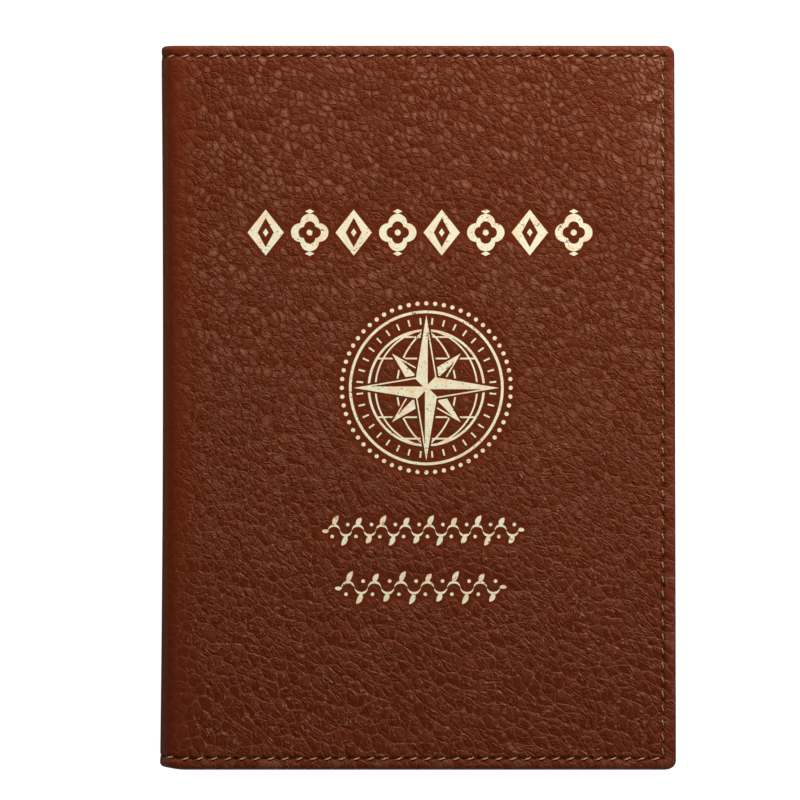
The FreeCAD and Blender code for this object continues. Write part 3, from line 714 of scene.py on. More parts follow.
def seam_masks(run, up):
    """The sewn rows on the hide: needle holes, troughs, and the margin outside the rows."""
    height = abs(up)
    to_end = abs(height - END_ROW)
    to_fore = abs(run - FORE_ROW)
    on_end = run.rise(FORE_ROW + 0.5, FORE_ROW + 0.3)
    on_fore = height.rise(END_ROW + 0.5, END_ROW + 0.3)
    end_phase = abs((run / PITCH) % 1.0 - 0.5) * PITCH
    fore_phase = abs(((up + END_ROW) / FORE_PITCH + 0.5) % 1.0 - 0.5) * FORE_PITCH
    end_hole = (end_phase * end_phase + to_end * to_end).rise(0.14, 0.03) * on_end
    fore_hole = (fore_phase * fore_phase + to_fore * to_fore).rise(0.14, 0.03) * on_fore
    trough = (to_end.rise(0.75, 0.15) * on_end).most(to_fore.rise(0.75, 0.15) * on_fore)
    margin = (height.rise(END_ROW - 0.2, END_ROW + 0.7)
              .most(run.rise(FORE_ROW - 0.2, FORE_ROW + 0.7)))
    return end_hole.most(fore_hole), trough, margin


def cover_leather(settings):
    """Semi-matt pebbled cowhide, smoother on the spine, along the seams and under the foil."""
    finish = Finish("cover_leather", IOR=1.45, Specular_IOR_Level=0.22,
                    Specular_Tint=(1.0, 0.55, 0.28, 1.0))
    at = finish.attribute("hide_at")["Vector"]
    pressed = finish.attribute("pressed")["Fac"]
    place = finish.split(at)
    run, up = abs(place["X"]), place["Y"]
    grain, edge, chance, streak = pebble_grain(finish, at, settings)
    hole, trough, margin = seam_masks(run, up)
    crease = edge.rise(0.22, 0.02)
    micro = finish.noise(at, 0.22, detail=2.0, roughness=0.6)
    cloud = finish.noise(at, 14.0, detail=3.0)
    speck = finish.noise(at, 0.38, detail=1.0)

    # the grain is worn smooth round the spine and lies flatter outside the seams
    off_spine = run.rise(FOLD_END - 3.0, FOLD_END + 7.0, 0.10, 1.0)
    amount = off_spine * (1.0 - 0.3 * margin) * (1.0 - 0.72 * pressed)
    bare = off_spine * (1.0 - pressed) * (1.0 - 0.5 * margin)

    # painted shade darkens the upper creases, and broken lines of painted highlight lighten the
    # lower ones
    waxed = up.rise(25.0, -45.0) * 0.8 + 0.1
    broken = finish.noise(at, 1.6, detail=2.0).rise(0.36, 0.56)
    painted_crease_shade = crease * 0.50 * amount * (1.0 - waxed)
    painted_crease_highlight = edge.rise(0.11, 0.02) * 0.55 * broken * amount * waxed

    # where hands have rubbed: the upper fore corner and the rim; painted highlights on the pebble
    # tops and along the strokes
    corner = (run.rise(FORE_ROW - 9, FORE_ROW - 1) * up.rise(25.0, 60.0) * (1.0 - margin)
              * finish.noise(at, 3.2, detail=1.0).rise(0.42, 0.54) * (1.0 - crease) * 0.8)
    # painted highlight: a soft sheen on some pebble tops, stronger towards the top
    tops = (chance.rise(0.30, 0.90) * edge.rise(0.04, 0.45) * up.rise(-45.0, 45.0, 0.10, 0.60)
            * bare)
    # painted highlight: glints along the fine strokes, strongest half way up
    patch = finish.noise(at, 3.5, detail=2.0).rise(0.36, 0.60, 0.35, 1.0)
    ridges = streak.rise(0.59, 0.71) * bare * patch * up.rise(60.0, 20.0, 0.35, 0.90)
    worn_rim = margin * finish.noise(at, 4.0, detail=2.0).rise(0.45, 0.75) * 0.35
    rubbed = corner.most(worn_rim).most(tops).most(ridges)

    # painted shade on the rolled rim and on the fold at the spine, which turn away from the light
    rim = (abs(up).rise(TOP_EDGE - 0.55, TOP_EDGE - 0.05)
           .most(run.rise(HIDE_REACH - 0.55, HIDE_REACH - 0.05)))
    spine = run.rise(SPINE_HALF + 2.5, SPINE_HALF + 1.0)
    dull_spine = run.rise(SPINE_HALF + 3.5, SPINE_HALF + 1.5)
    dark = settings.dark_dye_and_shade_colour
    colour = finish.coats(settings.colour, (
        # painted shade in the upper creases
        (painted_crease_shade, dark),
        # painted highlight in broken lines along the lower creases
        (painted_crease_highlight, settings.crease_highlight_colour),
        ((cloud - 0.35) * 0.55, dim(settings.colour, 0.72)),
        (speck.rise(0.50, 0.75) * 0.5, dark),
        # painted shade in the fine strokes' grooves
        (streak.rise(0.55, 0.46) * bare * 0.45, dim(dark, 0.8)),
        # painted shade: darker towards the bottom of the case, where less light falls
        (up.rise(10.0, -70.0) * 0.4, dark),
        # real wear at the corner and the rim, and painted highlights on the pebble tops and strokes
        (rubbed, settings.worn_and_glint_colour),
        # painted shade in the sewn rows' troughs and needle holes
        ((trough * 0.34).most(hole * 0.36), dim(dark, 0.35)),
        (pressed * 0.28, dark),
        # painted shade on the rolled rim and the spine's fold
        ((rim * 0.85).most(spine * 0.75), dim(dark, 0.5)),
    ))
    roughness = (settings.roughness + crease * 0.10 + (micro - 0.5) * 0.14
                 + dull_spine * 0.40 + pressed * 0.05)
    height = grain * (settings.shaded_relief / MM) * amount + micro * 0.012 - hole * 0.12
    return finish.feed(colour, roughness, height)


def edge_profile():
    """Rings of the wrapped edge: over the rim, down the side, and the turned hem inside."""
    flat = CORNER_RADIUS - EDGE_RADIUS
    rings = [(0.0, 0.0, 0.0), (0.3, 0.0, 0.3), (0.6, 0.0, 0.6), (flat, 0.0, flat)]
    for turn in np.linspace(0, pi / 2, 7)[1:]:
        rings.append((flat + EDGE_RADIUS * sin(turn), EDGE_RADIUS * (1 - cos(turn)),
                      flat + EDGE_RADIUS * turn))
    along = flat + EDGE_RADIUS * pi / 2
    side_end = HEM_INSIDE - HEM_RADIUS
    for depth in np.linspace(EDGE_RADIUS, side_end, 4)[1:]:
        rings.append((CORNER_RADIUS, depth, along + depth - EDGE_RADIUS))
    along += side_end - EDGE_RADIUS
    for turn in np.linspace(0, pi / 2, 4)[1:]:
        rings.append((CORNER_RADIUS - HEM_RADIUS * (1 - cos(turn)),
                      side_end + HEM_RADIUS * sin(turn), along + HEM_RADIUS * turn))
    along += HEM_RADIUS * pi / 2
    for inset in HEM_LINES:
        rings.append((CORNER_RADIUS - inset, HEM_INSIDE, along + inset - HEM_RADIUS))
    end = CORNER_RADIUS - HEM_WIDTH
    along += HEM_WIDTH - HEM_RADIUS
    rings += [(end, HEM_INSIDE - HEM_THIN, along), (end, LINING_INSIDE, along + 0.5),
              (CORNER_RADIUS - RIM_THICK, LINING_INSIDE, along + 1.0),
              (CORNER_RADIUS - RIM_THICK, LEATHER_INSIDE, along + 1.5)]
    return rings


def foil_shadow():
    """A tree of the foil's faces, laid flat, to find how near a place is to the foil."""
    points, faces = [], []
    for name in FOIL_NODES:
        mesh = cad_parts[name].data
        base = len(points)
        points += [(v.co.x / MM, v.co.y / MM, 0.0) for v in mesh.vertices]
        faces += [tuple(base + k for k in face.vertices) for face in mesh.polygons
                  if face.normal.z > 0.5]
    return BVHTree.FromPolygons(points, faces)


def pressed_share(places):
    """1 under the foil, falling to 0 a little way outside it."""
    tree = foil_shadow()
    boxes = [[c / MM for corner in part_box(name) for c in corner] for name in FOIL_NODES]
    pressed = np.zeros(len(places))
    near = np.zeros(len(places), bool)
    for low_x, low_y, _, high_x, high_y, _ in boxes:
        near |= ((places[:, 0] > low_x - FOIL_MARGIN) & (places[:, 0] < high_x + FOIL_MARGIN)
                 & (places[:, 1] > low_y - FOIL_MARGIN) & (places[:, 1] < high_y + FOIL_MARGIN))
    near &= places[:, 2] > THICKNESS - STAMPED_SKIN
    for k in np.flatnonzero(near):
        distance = tree.find_nearest((places[k, 0], places[k, 1], 0.0), FOIL_MARGIN)[3]
        if distance is not None:
            pressed[k] = 1 - smooth((distance - STAMP_EDGE) / STAMP_RUN)
    return pressed


def leather_skin(name, side, settings, material):
    """One cover's leather with its half of the spine, wrapped edges and turned hems."""
    inset = CORNER_RADIUS
    s_lines = hole_stations(0.0, HIDE_REACH - inset, PITCH, PITCH / 2, 6)
    y_lines = hole_stations(-TOP_EDGE + inset, TOP_EDGE - inset, FORE_PITCH, -END_ROW, 6)
    s_lines = add_lines(s_lines, FORE_ROW, BESIDE_ROW)
    y_lines = add_lines(y_lines, END_ROW, BESIDE_ROW)
    y_lines = add_lines(y_lines, -END_ROW, [-offset for offset in BESIDE_ROW])
    s, y, depth, u, v, faces = panel(s_lines, y_lines, edge_profile(), 0.0, whole=False)

    # the turned hem follows the board down at the fold
    wrapped = np.clip((depth - LEATHER_INSIDE) / (LINING_INSIDE - LEATHER_INSIDE), 0, 1)
    depth = depth - wrapped * fold_drop(s)
    outer = np.clip(1 - depth / EDGE_RADIUS, 0, 1)
    hem = (depth > LINING_INSIDE + 0.05 - fold_drop(s)) & (v != 0)  # but for its middle line
    inside_row = smooth((depth - HEM_INSIDE + 0.5 + fold_drop(s)) / 0.3)
    dent = seam_dent(s, y, settings.seam_dent / MM, HOLE_DENT)
    depth = depth + dent * outer * (outer > 0.5) - 0.7 * dent * inside_row * hem
    points = fold_over(side * s, y, depth)
    way = outward(side * s) * (outer - inside_row * hem)[:, None]

    # where the grain is cut in: less on the spine, outside the rows and under the foil
    rim = np.clip(1 - np.abs(outer - 0.5) * 2, 0, 1)
    off_spine = smooth((np.abs(s) - FOLD_END + 3.5) / 9.0) * 0.9 + 0.1
    margin = np.maximum(smooth((np.abs(y) - END_ROW + 0.2) / 0.9),
                        smooth((s - FORE_ROW + 0.2) / 0.9))
    pressed = pressed_share(points) if side > 0 else np.zeros(len(points))
    grain_share = off_spine * (1 - 0.7 * margin) * (1 - rim) * (1 - 0.85 * pressed)
    points = points - way * (pressed * settings.press_depth / MM)[:, None]
    at = np.stack([side * u, v, 0 * u], axis=-1)
    piece = new_piece(name, points, faces, material,
                      {"hide_at": at, "out_way": way, "grain_share": grain_share,
                       "pressed": pressed})
    relief = piece.modifiers.new("relief", "NODES")
    relief.node_group = leather_relief(settings)
    swap_for_evaluated(piece)
    return piece


def hang_on_fold(piece, side):
    """Bakes a piece's placement into its mesh; the front and the back are treated alike."""
    if side > 0:
        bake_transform(piece)
    else:
        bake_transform(piece)


class PASSPORTCASE_OT_leather(bpy.types.Operator):
    """Make the outer leather of both covers and the spine"""

    bl_idname = "passportcase.leather"
    bl_label = "Outer leather"

    def execute(self, context):
        settings = context.scene.passportcase_leather
        material = cover_leather(settings)
        for name, side, nodes in (
            ("leather_front", 1, ("front_leather", "front_hem", "spine_hem")),
            ("leather_back", -1, ("back_leather", "back_hem", "spine_leather")),
        ):
            piece = leather_skin(name, side, settings, material)
            hang_on_fold(piece, side)
            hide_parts(*nodes)
        return {"FINISHED"}


# ---------------------------------------------------------------- inside

def lining_fabric(settings):
    """Fine twill: slanted ribs of two yarns, with a slub here and there."""
    finish = Finish("lining_twill", IOR=1.45, Specular_IOR_Level=0.12, Sheen_Weight=0.04,
                    Sheen_Roughness=0.4)
    at = finish.attribute("hide_at")["Vector"]
    place = finish.split(at)
    sway = finish.noise(at, 3.0, detail=1.0)
    across = place["X"] + sway * 0.15
    up = place["Y"] + sway * 0.1
    pitch = settings.twill_pitch / MM
    rib = ((across + up) * (tau / pitch)).sine() * 0.5 + 0.5
    pick = ((across - up) * (tau / pitch * 2)).sine() * 0.5 + 0.5
    weave = rib * 0.7 + pick * 0.3
    fibre = finish.noise(at, 0.08, detail=2.0)
    slub = finish.noise(at, 1.6, detail=2.0).rise(0.6, 0.8)
    worn = finish.noise(at, 18.0, detail=2.0)
    colour = finish.coats(settings.lining_colour, (
        (weave * 0.8 + (fibre - 0.5) * 0.4, settings.lining_light),
        (slub * 0.35, settings.lining_light),
        (worn.rise(0.4, 0.7) * 0.15, dim(settings.lining_colour, 0.6)),
    ))
    roughness = 0.78 - rib * 0.08 + (fibre - 0.5) * 0.1
    height = weave * 0.11 + fibre * 0.02 + slub * 0.02
    return finish.feed(colour, roughness, height)


def pocket_leather(settings):
    """Thinner, finer-grained leather of the pocket panels, with a dark burnished edge."""
    finish = Finish("pocket_leather", IOR=1.45, Specular_IOR_Level=0.35,
                    Specular_Tint=(1.0, 0.60, 0.38, 1.0))
    at = finish.attribute("hide_at")["Vector"]
    edge = finish.attribute("cut_edge")["Fac"]
    sway = finish.vector("SCALE", finish.noise(at, 1.5)["Color"], scale=0.9)
    pebble = finish.add("ShaderNodeTexVoronoi", {"feature": "DISTANCE_TO_EDGE"},
                        {"Vector": finish.vector("ADD", at, sway), "Scale": 0.85,
                         "Randomness": 1.0}).rise(0.0, 0.24)
    pore = finish.noise(at, 0.25, detail=2.0)
    cloud = finish.noise(at, 16.0, detail=3.0)
    base = settings.pocket_colour
    dark = dim(base, 0.45)
    colour = finish.coats(base, (
        ((1.0 - pebble) * 0.55, dark),
        ((cloud - 0.4) * 0.6, dark),
        (pore.rise(0.55, 0.75) * 0.3, dark),
        (edge * 0.8, dim(base, 0.3)),
    ))
    roughness = 0.46 + (1.0 - pebble) * 0.12 + (pore - 0.5) * 0.1 - edge * 0.1
    height = pebble * 0.13 * (1.0 - edge) + pore * 0.015
    return finish.feed(colour, roughness, height)


def pocket_panel(name, side, material):
    """A pocket panel: sewn down on three sides, bowed a little at its mouth."""
    inset = POCKET_INSET
    near, far = along_hide(POCKET_MOUTH), along_hide(POCKET_FORE)
    row = along_hide(MOUTH_ROW)
    s_lines = hole_stations(near + inset, far - inset, PITCH, PITCH / 2, 4)
    y_lines = hole_stations(-POCKET_TOP + inset, POCKET_TOP - inset, FORE_PITCH, -END_ROW, 4)
    s_lines = add_lines(s_lines, FORE_ROW, POCKET_BESIDE)
    s_lines = add_lines(s_lines, row, MOUTH_BESIDE)
    y_lines = add_lines(y_lines, END_ROW, POCKET_BESIDE)
    y_lines = add_lines(y_lines, -END_ROW, [-offset for offset in POCKET_BESIDE])
    profile = pocket_profile(POCKET_EDGE, inset)
    s, y, depth, u, v, faces = panel(s_lines, y_lines, profile, POCKET_INSIDE, whole=True)

    # the rows pull it in
    seen = smooth((depth - HEM_INSIDE - 0.35) / 0.3)
    dent = seam_dent(s, y, 0.13, 0.2)
    to_mouth = np.abs(s - row)
    held = np.abs(y) < (MOUTH_STITCHES + 1) * PITCH / 2
    mouth_hole = np.abs((y / PITCH + 0.5 * (MOUTH_STITCHES % 2)) % 1.0) * PITCH
    mouth_hole = np.minimum(mouth_hole, PITCH - mouth_hole)
    mouth_dent = (0.1 * np.exp(-(to_mouth / 0.4) ** 2)
                  + 0.2 * np.exp(-(to_mouth**2 + mouth_hole**2) / HOLE**2))
    dent = np.maximum(dent, held * mouth_dent)

    # it bows at the mouth and is a little uneven elsewhere
    bow = (POCKET_BOW * (1 - smooth((s - near) / 22))
           * np.clip(1 - (y / (END_ROW - 3)) ** 2, 0, 1))
    plump = 0.05 * np.sin(s / 9.0) * np.cos(y / 13.0) * np.clip(1 - (y / END_ROW) ** 4, 0, 1)
    depth = depth - dent * seen + bow + plump * seen
    border = np.minimum(np.minimum(s - near, far - s), POCKET_TOP - np.abs(y))
    cut_edge = 1 - smooth(border / 0.35)
    points = fold_over(side * s, y, depth)
    return new_piece(name, points, faces, material,
                     {"hide_at": np.stack([side * u, v, depth], axis=-1), "cut_edge": cut_edge})


def lining_panel(name, side, material):
    """A half of the lining, from the middle of the spine to the fore edge."""
    board = BOARD_START + 2
    fine = stations(0.0, board, LINING_FINE)
    plain = stations(board, along_hide(LINING_FORE) - LINING_INSET, LINING_PLAIN)
    s_lines = np.concatenate([fine, plain[1:]])
    y_lines = stations(-LINING_TOP + LINING_INSET, LINING_TOP - LINING_INSET, LINING_PLAIN)
    profile = [(0.0, LINING_INSIDE, 0.0), (0.07, LINING_INSIDE - 0.03, 0.08),
               (LINING_INSET, LINING_INSIDE - 0.1, 0.16), (LINING_INSET, BOARD_INSIDE, 0.4)]
    s, y, depth, u, v, faces = panel(s_lines, y_lines, profile, LINING_INSIDE, whole=False)
    seen = depth > LINING_INSIDE - 0.05
    # the glued cloth puckers a very little over the fold
    waves = np.sin(y / 2.3 + np.sin(y / 7.0) * 2)
    pucker = PUCKER * waves * np.exp(-((s - FOLD_END) / 2.5) ** 2)
    depth = depth - fold_drop(s) + pucker * seen
    points = fold_over(side * s, y, depth)
    return new_piece(name, points, faces, material,
                     {"hide_at": np.stack([side * u, v, depth], axis=-1)})


def cardboard(settings):
    """Grey-brown board with loose fibres."""
    finish = Finish("stiffening_board", IOR=1.45, Specular_IOR_Level=0.25)
    at = finish.place()
    fibre = finish.noise(finish.vector("MULTIPLY", at, (1.0, 0.25, 1.0)), 0.35, detail=3.0)
    fleck = finish.noise(at, 0.9, detail=2.0).rise(0.62, 0.72)
    base = settings.board_colour
    colour = finish.coats(base, ((fibre * 0.5, dim(base, 0.7)), (fleck * 0.5, dim(base, 0.35))))
    return finish.feed(colour, 0.85 + (fibre - 0.5) * 0.1, fibre * 0.03)


class PASSPORTCASE_OT_lining(bpy.types.Operator):
    """Make the fabric lining of the covers and the spine, and finish the boards"""

    bl_idname = "passportcase.lining"
    bl_label = "Lining and boards"

    def execute(self, context):
        settings = context.scene.passportcase_inside
        material = lining_fabric(settings)
        for name, side, board, nodes in (
            ("lining_front", 1, "front_board", ("front_lining",)),
            ("lining_back", -1, "back_board", ("back_lining", "spine_lining")),
        ):
            piece = lining_panel(name, side, material)
            hang_on_fold(piece, side)
            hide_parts(*nodes)
        board_material = cardboard(settings)
        for name in ("front_board", "back_board"):
            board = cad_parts[name]
            for slot in board.material_slots:
                slot.material = board_material
        return {"FINISHED"}


class PASSPORTCASE_OT_pockets(bpy.types.Operator):
    """Make the pocket panel inside each cover"""

    bl_idname = "passportcase.pockets"
    bl_label = "Pocket panels"

    def execute(self, context):
        material = pocket_leather(context.scene.passportcase_inside)
        for name, side, body, node in (
            ("pocket_front", 1, "front_cover", "front_pocket"),
            ("pocket_back", -1, "back_cover", "back_pocket"),
        ):
            piece = pocket_panel(name, side, material)
            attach(piece, body)
            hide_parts(node)
        return {"FINISHED"}


# ---------------------------------------------------------------- sewing

def waxed_thread(settings):
    """Two-ply waxed thread with a few loose fibres, with painted shade where it enters its holes
    and all along the fore-edge row.
    """
    finish = Finish("waxed_thread", IOR=1.45, Specular_IOR_Level=0.25)
    at = finish.attribute("thread_at")["Vector"]
    place = finish.split(at)
    ply = (place["X"] * 9.0 + place["Y"] * 2.0).sine() * 0.5 + 0.5
    fibre = finish.noise(finish.vector("MULTIPLY", at, (2.0, 0.8, 1.0)), 0.3, detail=2.0)
    base = settings.colour
    colour = finish.coats(base, (
        (ply * 0.3, dim(base, 0.55)),
        (fibre.rise(0.5, 0.8) * 0.4, dim(base, 1.25)),
        # painted shade at the stitch ends and along the fore-edge row
        (place["Z"] * 0.85, dim(base, 0.15)),
    ))
    return finish.feed(colour, 0.48 + (fibre - 0.5) * 0.2, ply * 0.03 + fibre * 0.02)


def stitch_mesh(name, side, runs, settings, material):
    """One piece with every stitch of a row. A run is (s, y, way, surface depth, inner, lean)."""
    half = settings.stitch / MM / 2
    radius = settings.thickness / MM / 2
    lean = settings.lean / MM
    t = np.linspace(-1, 1, THREAD_RINGS)
    turn = np.linspace(0, tau, THREAD_SIDES, endpoint=False)
    tile = np.arange(THREAD_RINGS * THREAD_SIDES).reshape(THREAD_RINGS, THREAD_SIDES)
    following = np.roll(tile, -1, axis=1)
    tube = np.stack([tile[:-1], following[:-1], following[1:], tile[1:]], axis=-1).reshape(-1, 4)
    ply = 0.90 + 0.10 * np.cos(2 * (turn[None, :] - t[:, None] * PLY_TWIST))
    thick = radius * ply * (1 - 0.25 * t[:, None] ** 6)
    level = thick * np.sin(turn)[None, :]
    across = thick * np.cos(turn)[None, :]
    points, marks, faces = [], [], []
    for number, (s0, y0, (way_s, way_y), surface, inner, tilt) in enumerate(runs):
        on_fore = s0 == FORE_ROW
        # no two stitches lie quite alike
        wobble = sin(number * 2.7) * 0.035
        side_step = (tilt * lean + wobble) * t
        s = s0 + half * t * way_s - side_step * way_y * 0.5
        y = y0 + half * t * way_y + side_step * way_s * 0.5
        sunk = FOLD_SUNK if abs(s0) < FOLD_END else FORE_SUNK * on_fore
        rise = 0.03 - sunk + 0.02 * sin(number * 1.9) - STITCH_DIVE * np.abs(t) ** 4
        centre = surface - rise * (-1 if inner else 1)
        ring_s = s[:, None] + across * way_y
        ring_y = y[:, None] + across * way_s
        ring_depth = centre[:, None] + level
        points.append(fold_over(side * ring_s, ring_y, ring_depth).reshape(-1, 3))
        # painted shade: darker at a stitch's ends in their holes, and along the whole fore-edge row
        shaded = np.maximum(smooth((np.abs(t) - 0.72) / 0.28), FORE_SHADE * on_fore)
        mark = np.broadcast_arrays((half * t)[:, None], turn[None, :], shaded[:, None])
        marks.append(np.stack(mark, axis=-1).reshape(-1, 3))
        base = number * tile.size
        faces += (tube + base).tolist()
        faces.append((tile[0][::-1] + base).tolist())
        faces.append((tile[-1] + base).tolist())
    return new_piece(name, np.concatenate(points), faces, material,
                     {"thread_at": np.concatenate(marks)})


def inner_surface(k):
    """Depth of the surface inside at a stitch: on the fold, the hem or the pocket panel."""
    if k <= LAST_FOLD_STITCH:
        return HEM_INSIDE - FOLD_DROP
    return HEM_INSIDE if k <= LAST_HEM_STITCH else POCKET_INSIDE


def cover_runs(first, inner):
    """Stitches round a cover: both end rows from the first one, and the fore edge row."""
    runs = []
    for end in (-1, 1):
        for k in range(first, CORNER_STITCHES + 1):
            surface = inner_surface(k) if inner else 0.0
            runs.append((k * PITCH, end * END_ROW, (1, 0), surface, inner, 1.0))
    surface = POCKET_INSIDE if inner else 0.0
    for k in range(FORE_STITCHES):
        runs.append((FORE_ROW, -END_ROW + (k + 0.5) * FORE_PITCH, (0, 1), surface, inner,
                     UPRIGHT_LEAN))
    return runs


def mouth_runs():
    """Stitches along a pocket's mouth."""
    row = along_hide(MOUTH_ROW)
    return [(row, (k - (MOUTH_STITCHES - 1) / 2) * PITCH, (0, 1), POCKET_INSIDE, True,
             UPRIGHT_LEAN) for k in range(MOUTH_STITCHES)]


class PASSPORTCASE_OT_sewing(bpy.types.Operator):
    """Sew the rows round the covers and along the pockets' mouths"""

    bl_idname = "passportcase.sewing"
    bl_label = "Sewing"

    def execute(self, context):
        settings = context.scene.passportcase_thread
        material = waxed_thread(settings)
        for name, side, runs, nodes in (
            ("outer_stitches_front", 1, cover_runs(1, False), ("front_outer_stitches",)),
            ("outer_stitches_back", -1, cover_runs(0, False),
             ("back_outer_stitches", "spine_outer_stitches")),
            ("inner_stitches_front", 1, cover_runs(1, True), ("front_inner_stitches",)),
            ("inner_stitches_back", -1, cover_runs(0, True),
             ("back_inner_stitches", "spine_inner_stitches")),
        ):
            piece = stitch_mesh(name, side, runs, settings, material)
            hang_on_fold(piece, side)
            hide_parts(*nodes)
        for name, side, body, node in (
            ("mouth_stitches_front", 1, "front_cover", "front_pocket_mouth_stitches"),
            ("mouth_stitches_back", -1, "back_cover", "back_pocket_mouth_stitches"),
        ):
            piece = stitch_mesh(name, side, mouth_runs(), settings, material)
            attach(piece, body)
            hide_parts(node)
        return {"FINISHED"}


# ---------------------------------------------------------------- foil

def pale_gold_foil(settings, leather):
    """Hot-stamped foil: mottled pale gold, with the leather showing where it is rubbed."""
    finish = Finish("pale_gold_foil", IOR=1.5, Specular_IOR_Level=0.5)
    at = finish.place()
    patch = finish.noise(at, 2.4, detail=2.0)
    cool = finish.noise(finish.vector("ADD", at, (31.0, 7.0, 0.0)), 1.5, detail=2.0)
    grain = finish.noise(at, 0.45, detail=3.0, roughness=0.65)
    worn = finish.noise(finish.vector("ADD", at, (5.0, 17.0, 3.0)), 0.55, detail=3.0,
                        roughness=0.7)
    zone = finish.noise(at, 6.0, detail=1.0)
    limit = 0.70 - settings.worn_share * 0.55
    gone = (worn + (zone - 0.5) * 0.25).rise(limit, limit + 0.05)
    colour = finish.coats(settings.colour, (
        (patch.rise(0.45, 0.68) * 0.75, settings.warm_colour),
        (cool.rise(0.50, 0.68) * 0.6, settings.cool_colour),
        (grain.rise(0.35, 0.75) * 0.35, dim(settings.colour, 0.6)),
        (gone * 0.92, dim(leather.colour, 0.8)),
    ))
    metallic = 0.42 * (1.0 - gone)
    roughness = 0.42 + (grain - 0.5) * 0.3 + gone * 0.1
    height = grain * 0.05 + patch * 0.05 - gone * 0.03
    return finish.feed(colour, roughness, height, metallic)


def drape_foil(name, node, surface, settings, material):
    """The CAD foil, cut finer and laid on the leather's own relief."""
    shape = bmesh.new()
    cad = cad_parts[node].data
    corners = [shape.verts.new(v.co) for v in cad.vertices]
    for face in cad.polygons:
        shape.faces.new([corners[k] for k in face.vertices])
    bmesh.ops.remove_doubles(shape, verts=shape.verts, dist=1e-6)
    for _ in range(5):
        long_edges = [e for e in shape.edges if e.calc_length() > FOIL_CELL * MM]
        if not long_edges:
            break
        bmesh.ops.subdivide_edges(shape, edges=long_edges, cuts=1)
        bmesh.ops.triangulate(shape, faces=[f for f in shape.faces if len(f.verts) > 3])
    low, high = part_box(node)
    above = THICKNESS * MM + 1 * MM
    for vertex in shape.verts:
        hit = surface.ray_cast(Vector((vertex.co.x, vertex.co.y, above)), Vector((0, 0, -1)))[0]
        ground = hit.z if hit else low.z
        lift = settings.film if vertex.co.z > (low.z + high.z) / 2 else 0.0
        vertex.co.z = ground + lift - FOIL_SUNK * settings.film
    mesh = bpy.data.meshes.new(name)
    shape.to_mesh(mesh)
    shape.free()
    mesh.shade_smooth()
    mesh.set_sharp_from_angle(angle=FOIL_SHARP)
    return placed(name, mesh, material)


class PASSPORTCASE_OT_foil(bpy.types.Operator):
    """Stamp the gold foil ornaments on the front cover"""

    bl_idname = "passportcase.foil"
    bl_label = "Gold foil"

    def execute(self, context):
        settings = context.scene.passportcase_foil
        material = pale_gold_foil(settings, context.scene.passportcase_leather)
        leather = bpy.data.objects.get("leather_front")
        if leather is None:
            raise RuntimeError("make the outer leather before the foil that lies on it")
        mesh = leather.data
        surface = BVHTree.FromPolygons([v.co for v in mesh.vertices],
                                       [f.vertices for f in mesh.polygons])
        for node in FOIL_NODES:
            name = node.replace("foil_", "gold_")
            piece = drape_foil(name, node, surface, settings, material)
            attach(piece, "front_cover")
            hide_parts(node)
        return {"FINISHED"}


# ---------------------------------------------------------------- stage

def lamp(name, bearing, elevation, distance, size, power):
    """A round soft lamp that looks at the middle of the case."""
    light = bpy.data.lights.new(name, "AREA")
    light.shape = "DISK"
    light.size = size
    light.energy = power
    lit = bpy.data.objects.new(name, light)
    turn, climb = radians(bearing), radians(elevation)
    lit.location = (distance * cos(climb) * cos(turn), distance * cos(climb) * sin(turn),
                    distance * sin(climb))
    lit.rotation_euler = (-lit.location).to_track_quat("-Z", "Y").to_euler()
    bpy.context.scene.collection.objects.link(lit)


def pale_floor(settings):
    """Evenly lit pale floor with a faint mottle."""
    finish = Finish("pale_floor", Specular_IOR_Level=0.1, Emission_Strength=FLOOR_GLOW,
                    Emission_Color=(1.0, 1.0, 1.0, 1.0))
    speck = finish.noise(finish.place(), 1.5, detail=3.0)
    colour = finish.blend(speck * 0.1, settings.floor_colour, dim(settings.floor_colour, 0.96))
    return finish.feed(colour, 0.75 + speck * 0.1)


class PASSPORTCASE_OT_stage(bpy.types.Operator):
    """Set up the pale floor, the lights and the camera"""

    bl_idname = "passportcase.stage"
    bl_label = "Stage"

    def execute(self, context):
        settings = context.scene.passportcase_stage
        scene = context.scene
        corners = [(x * FLOOR_REACH, y * FLOOR_REACH, -FLOOR_BELOW)
                   for x, y in ((-1, -1), (1, -1), (1, 1), (-1, 1))]
        mesh = bpy.data.meshes.new("floor")
        mesh.from_pydata(corners, [], [(0, 1, 2, 3)])
        placed("floor", mesh, pale_floor(settings))

        world = bpy.data.worlds.new("studio")
        world.use_nodes = True
        background = world.node_tree.nodes["Background"].inputs
        background["Color"].default_value = (1, 1, 1, 1)
        background["Strength"].default_value = ROOM_LIGHT
        scene.world = world
        lamp("key_light", *KEY_LAMP, settings.key_power)
        lamp("fill_light", *FILL_LAMP, settings.fill_power)
        lamp("low_fill", *LOW_LAMP, settings.fill_power * LOW_SHARE)

        camera = bpy.data.cameras.new("camera")
        camera.lens = LENS
        camera.sensor_width = SENSOR
        view = bpy.data.objects.new("camera", camera)
        view.location = (*CAMERA_PLACE, THICKNESS * MM + settings.camera_height)
        scene.collection.objects.link(view)
        scene.camera = view
        scene.view_settings.view_transform = "Standard"
        return {"FINISHED"}


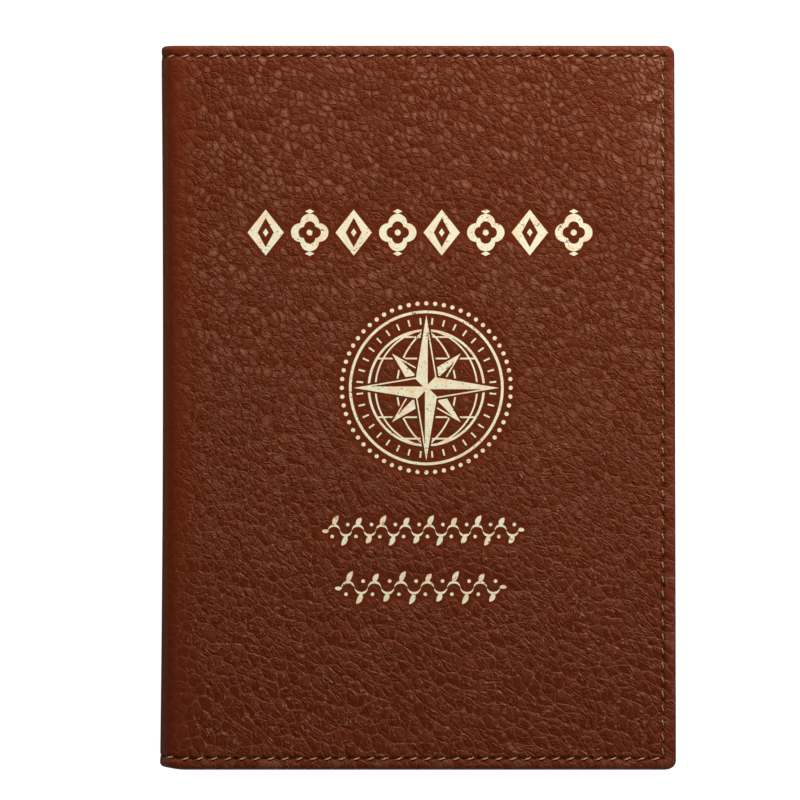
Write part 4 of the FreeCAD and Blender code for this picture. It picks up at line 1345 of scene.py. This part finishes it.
class PASSPORTCASE_PT_panel(bpy.types.Panel):
    """Every setting of the case, with the buttons that make its pieces"""

    bl_idname = "PASSPORTCASE_PT_panel"
    bl_label = "Passport case"
    bl_space_type = "VIEW_3D"
    bl_region_type = "UI"
    bl_category = "Passport case"

    def draw(self, context):
        layout = self.layout
        for group, operators in PANEL_ROWS:
            box = layout.box()
            settings = getattr(context.scene, group)
            for name in settings.bl_rna.properties.keys():
                if name not in ("rna_type", "name"):
                    box.prop(settings, name)
            for operator in operators:
                box.operator(operator.bl_idname)


PANEL_ROWS = (
    ("passportcase_leather", (PASSPORTCASE_OT_leather,)),
    ("passportcase_inside", (PASSPORTCASE_OT_lining, PASSPORTCASE_OT_pockets)),
    ("passportcase_thread", (PASSPORTCASE_OT_sewing,)),
    ("passportcase_foil", (PASSPORTCASE_OT_foil,)),
    ("passportcase_stage", (PASSPORTCASE_OT_stage,)),
)
GROUPS = {
    "passportcase_leather": PASSPORTCASE_PG_leather,
    "passportcase_inside": PASSPORTCASE_PG_inside,
    "passportcase_thread": PASSPORTCASE_PG_thread,
    "passportcase_foil": PASSPORTCASE_PG_foil,
    "passportcase_stage": PASSPORTCASE_PG_stage,
}
CLASSES = (*GROUPS.values(), PASSPORTCASE_OT_leather, PASSPORTCASE_OT_lining,
           PASSPORTCASE_OT_pockets, PASSPORTCASE_OT_sewing, PASSPORTCASE_OT_foil,
           PASSPORTCASE_OT_stage, PASSPORTCASE_PT_panel)


def register():
    for cls in CLASSES:
        bpy.utils.register_class(cls)
    for name, group in GROUPS.items():
        setattr(bpy.types.Scene, name, PointerProperty(type=group))


def unregister():
    for name in GROUPS:
        delattr(bpy.types.Scene, name)
    for cls in reversed(CLASSES):
        bpy.utils.unregister_class(cls)


def main():
    register()
    bpy.ops.passportcase.stage()
    bpy.ops.passportcase.leather()
    bpy.ops.passportcase.lining()
    bpy.ops.passportcase.pockets()
    bpy.ops.passportcase.sewing()
    bpy.ops.passportcase.foil()


if __name__ == "__main__":
    main()
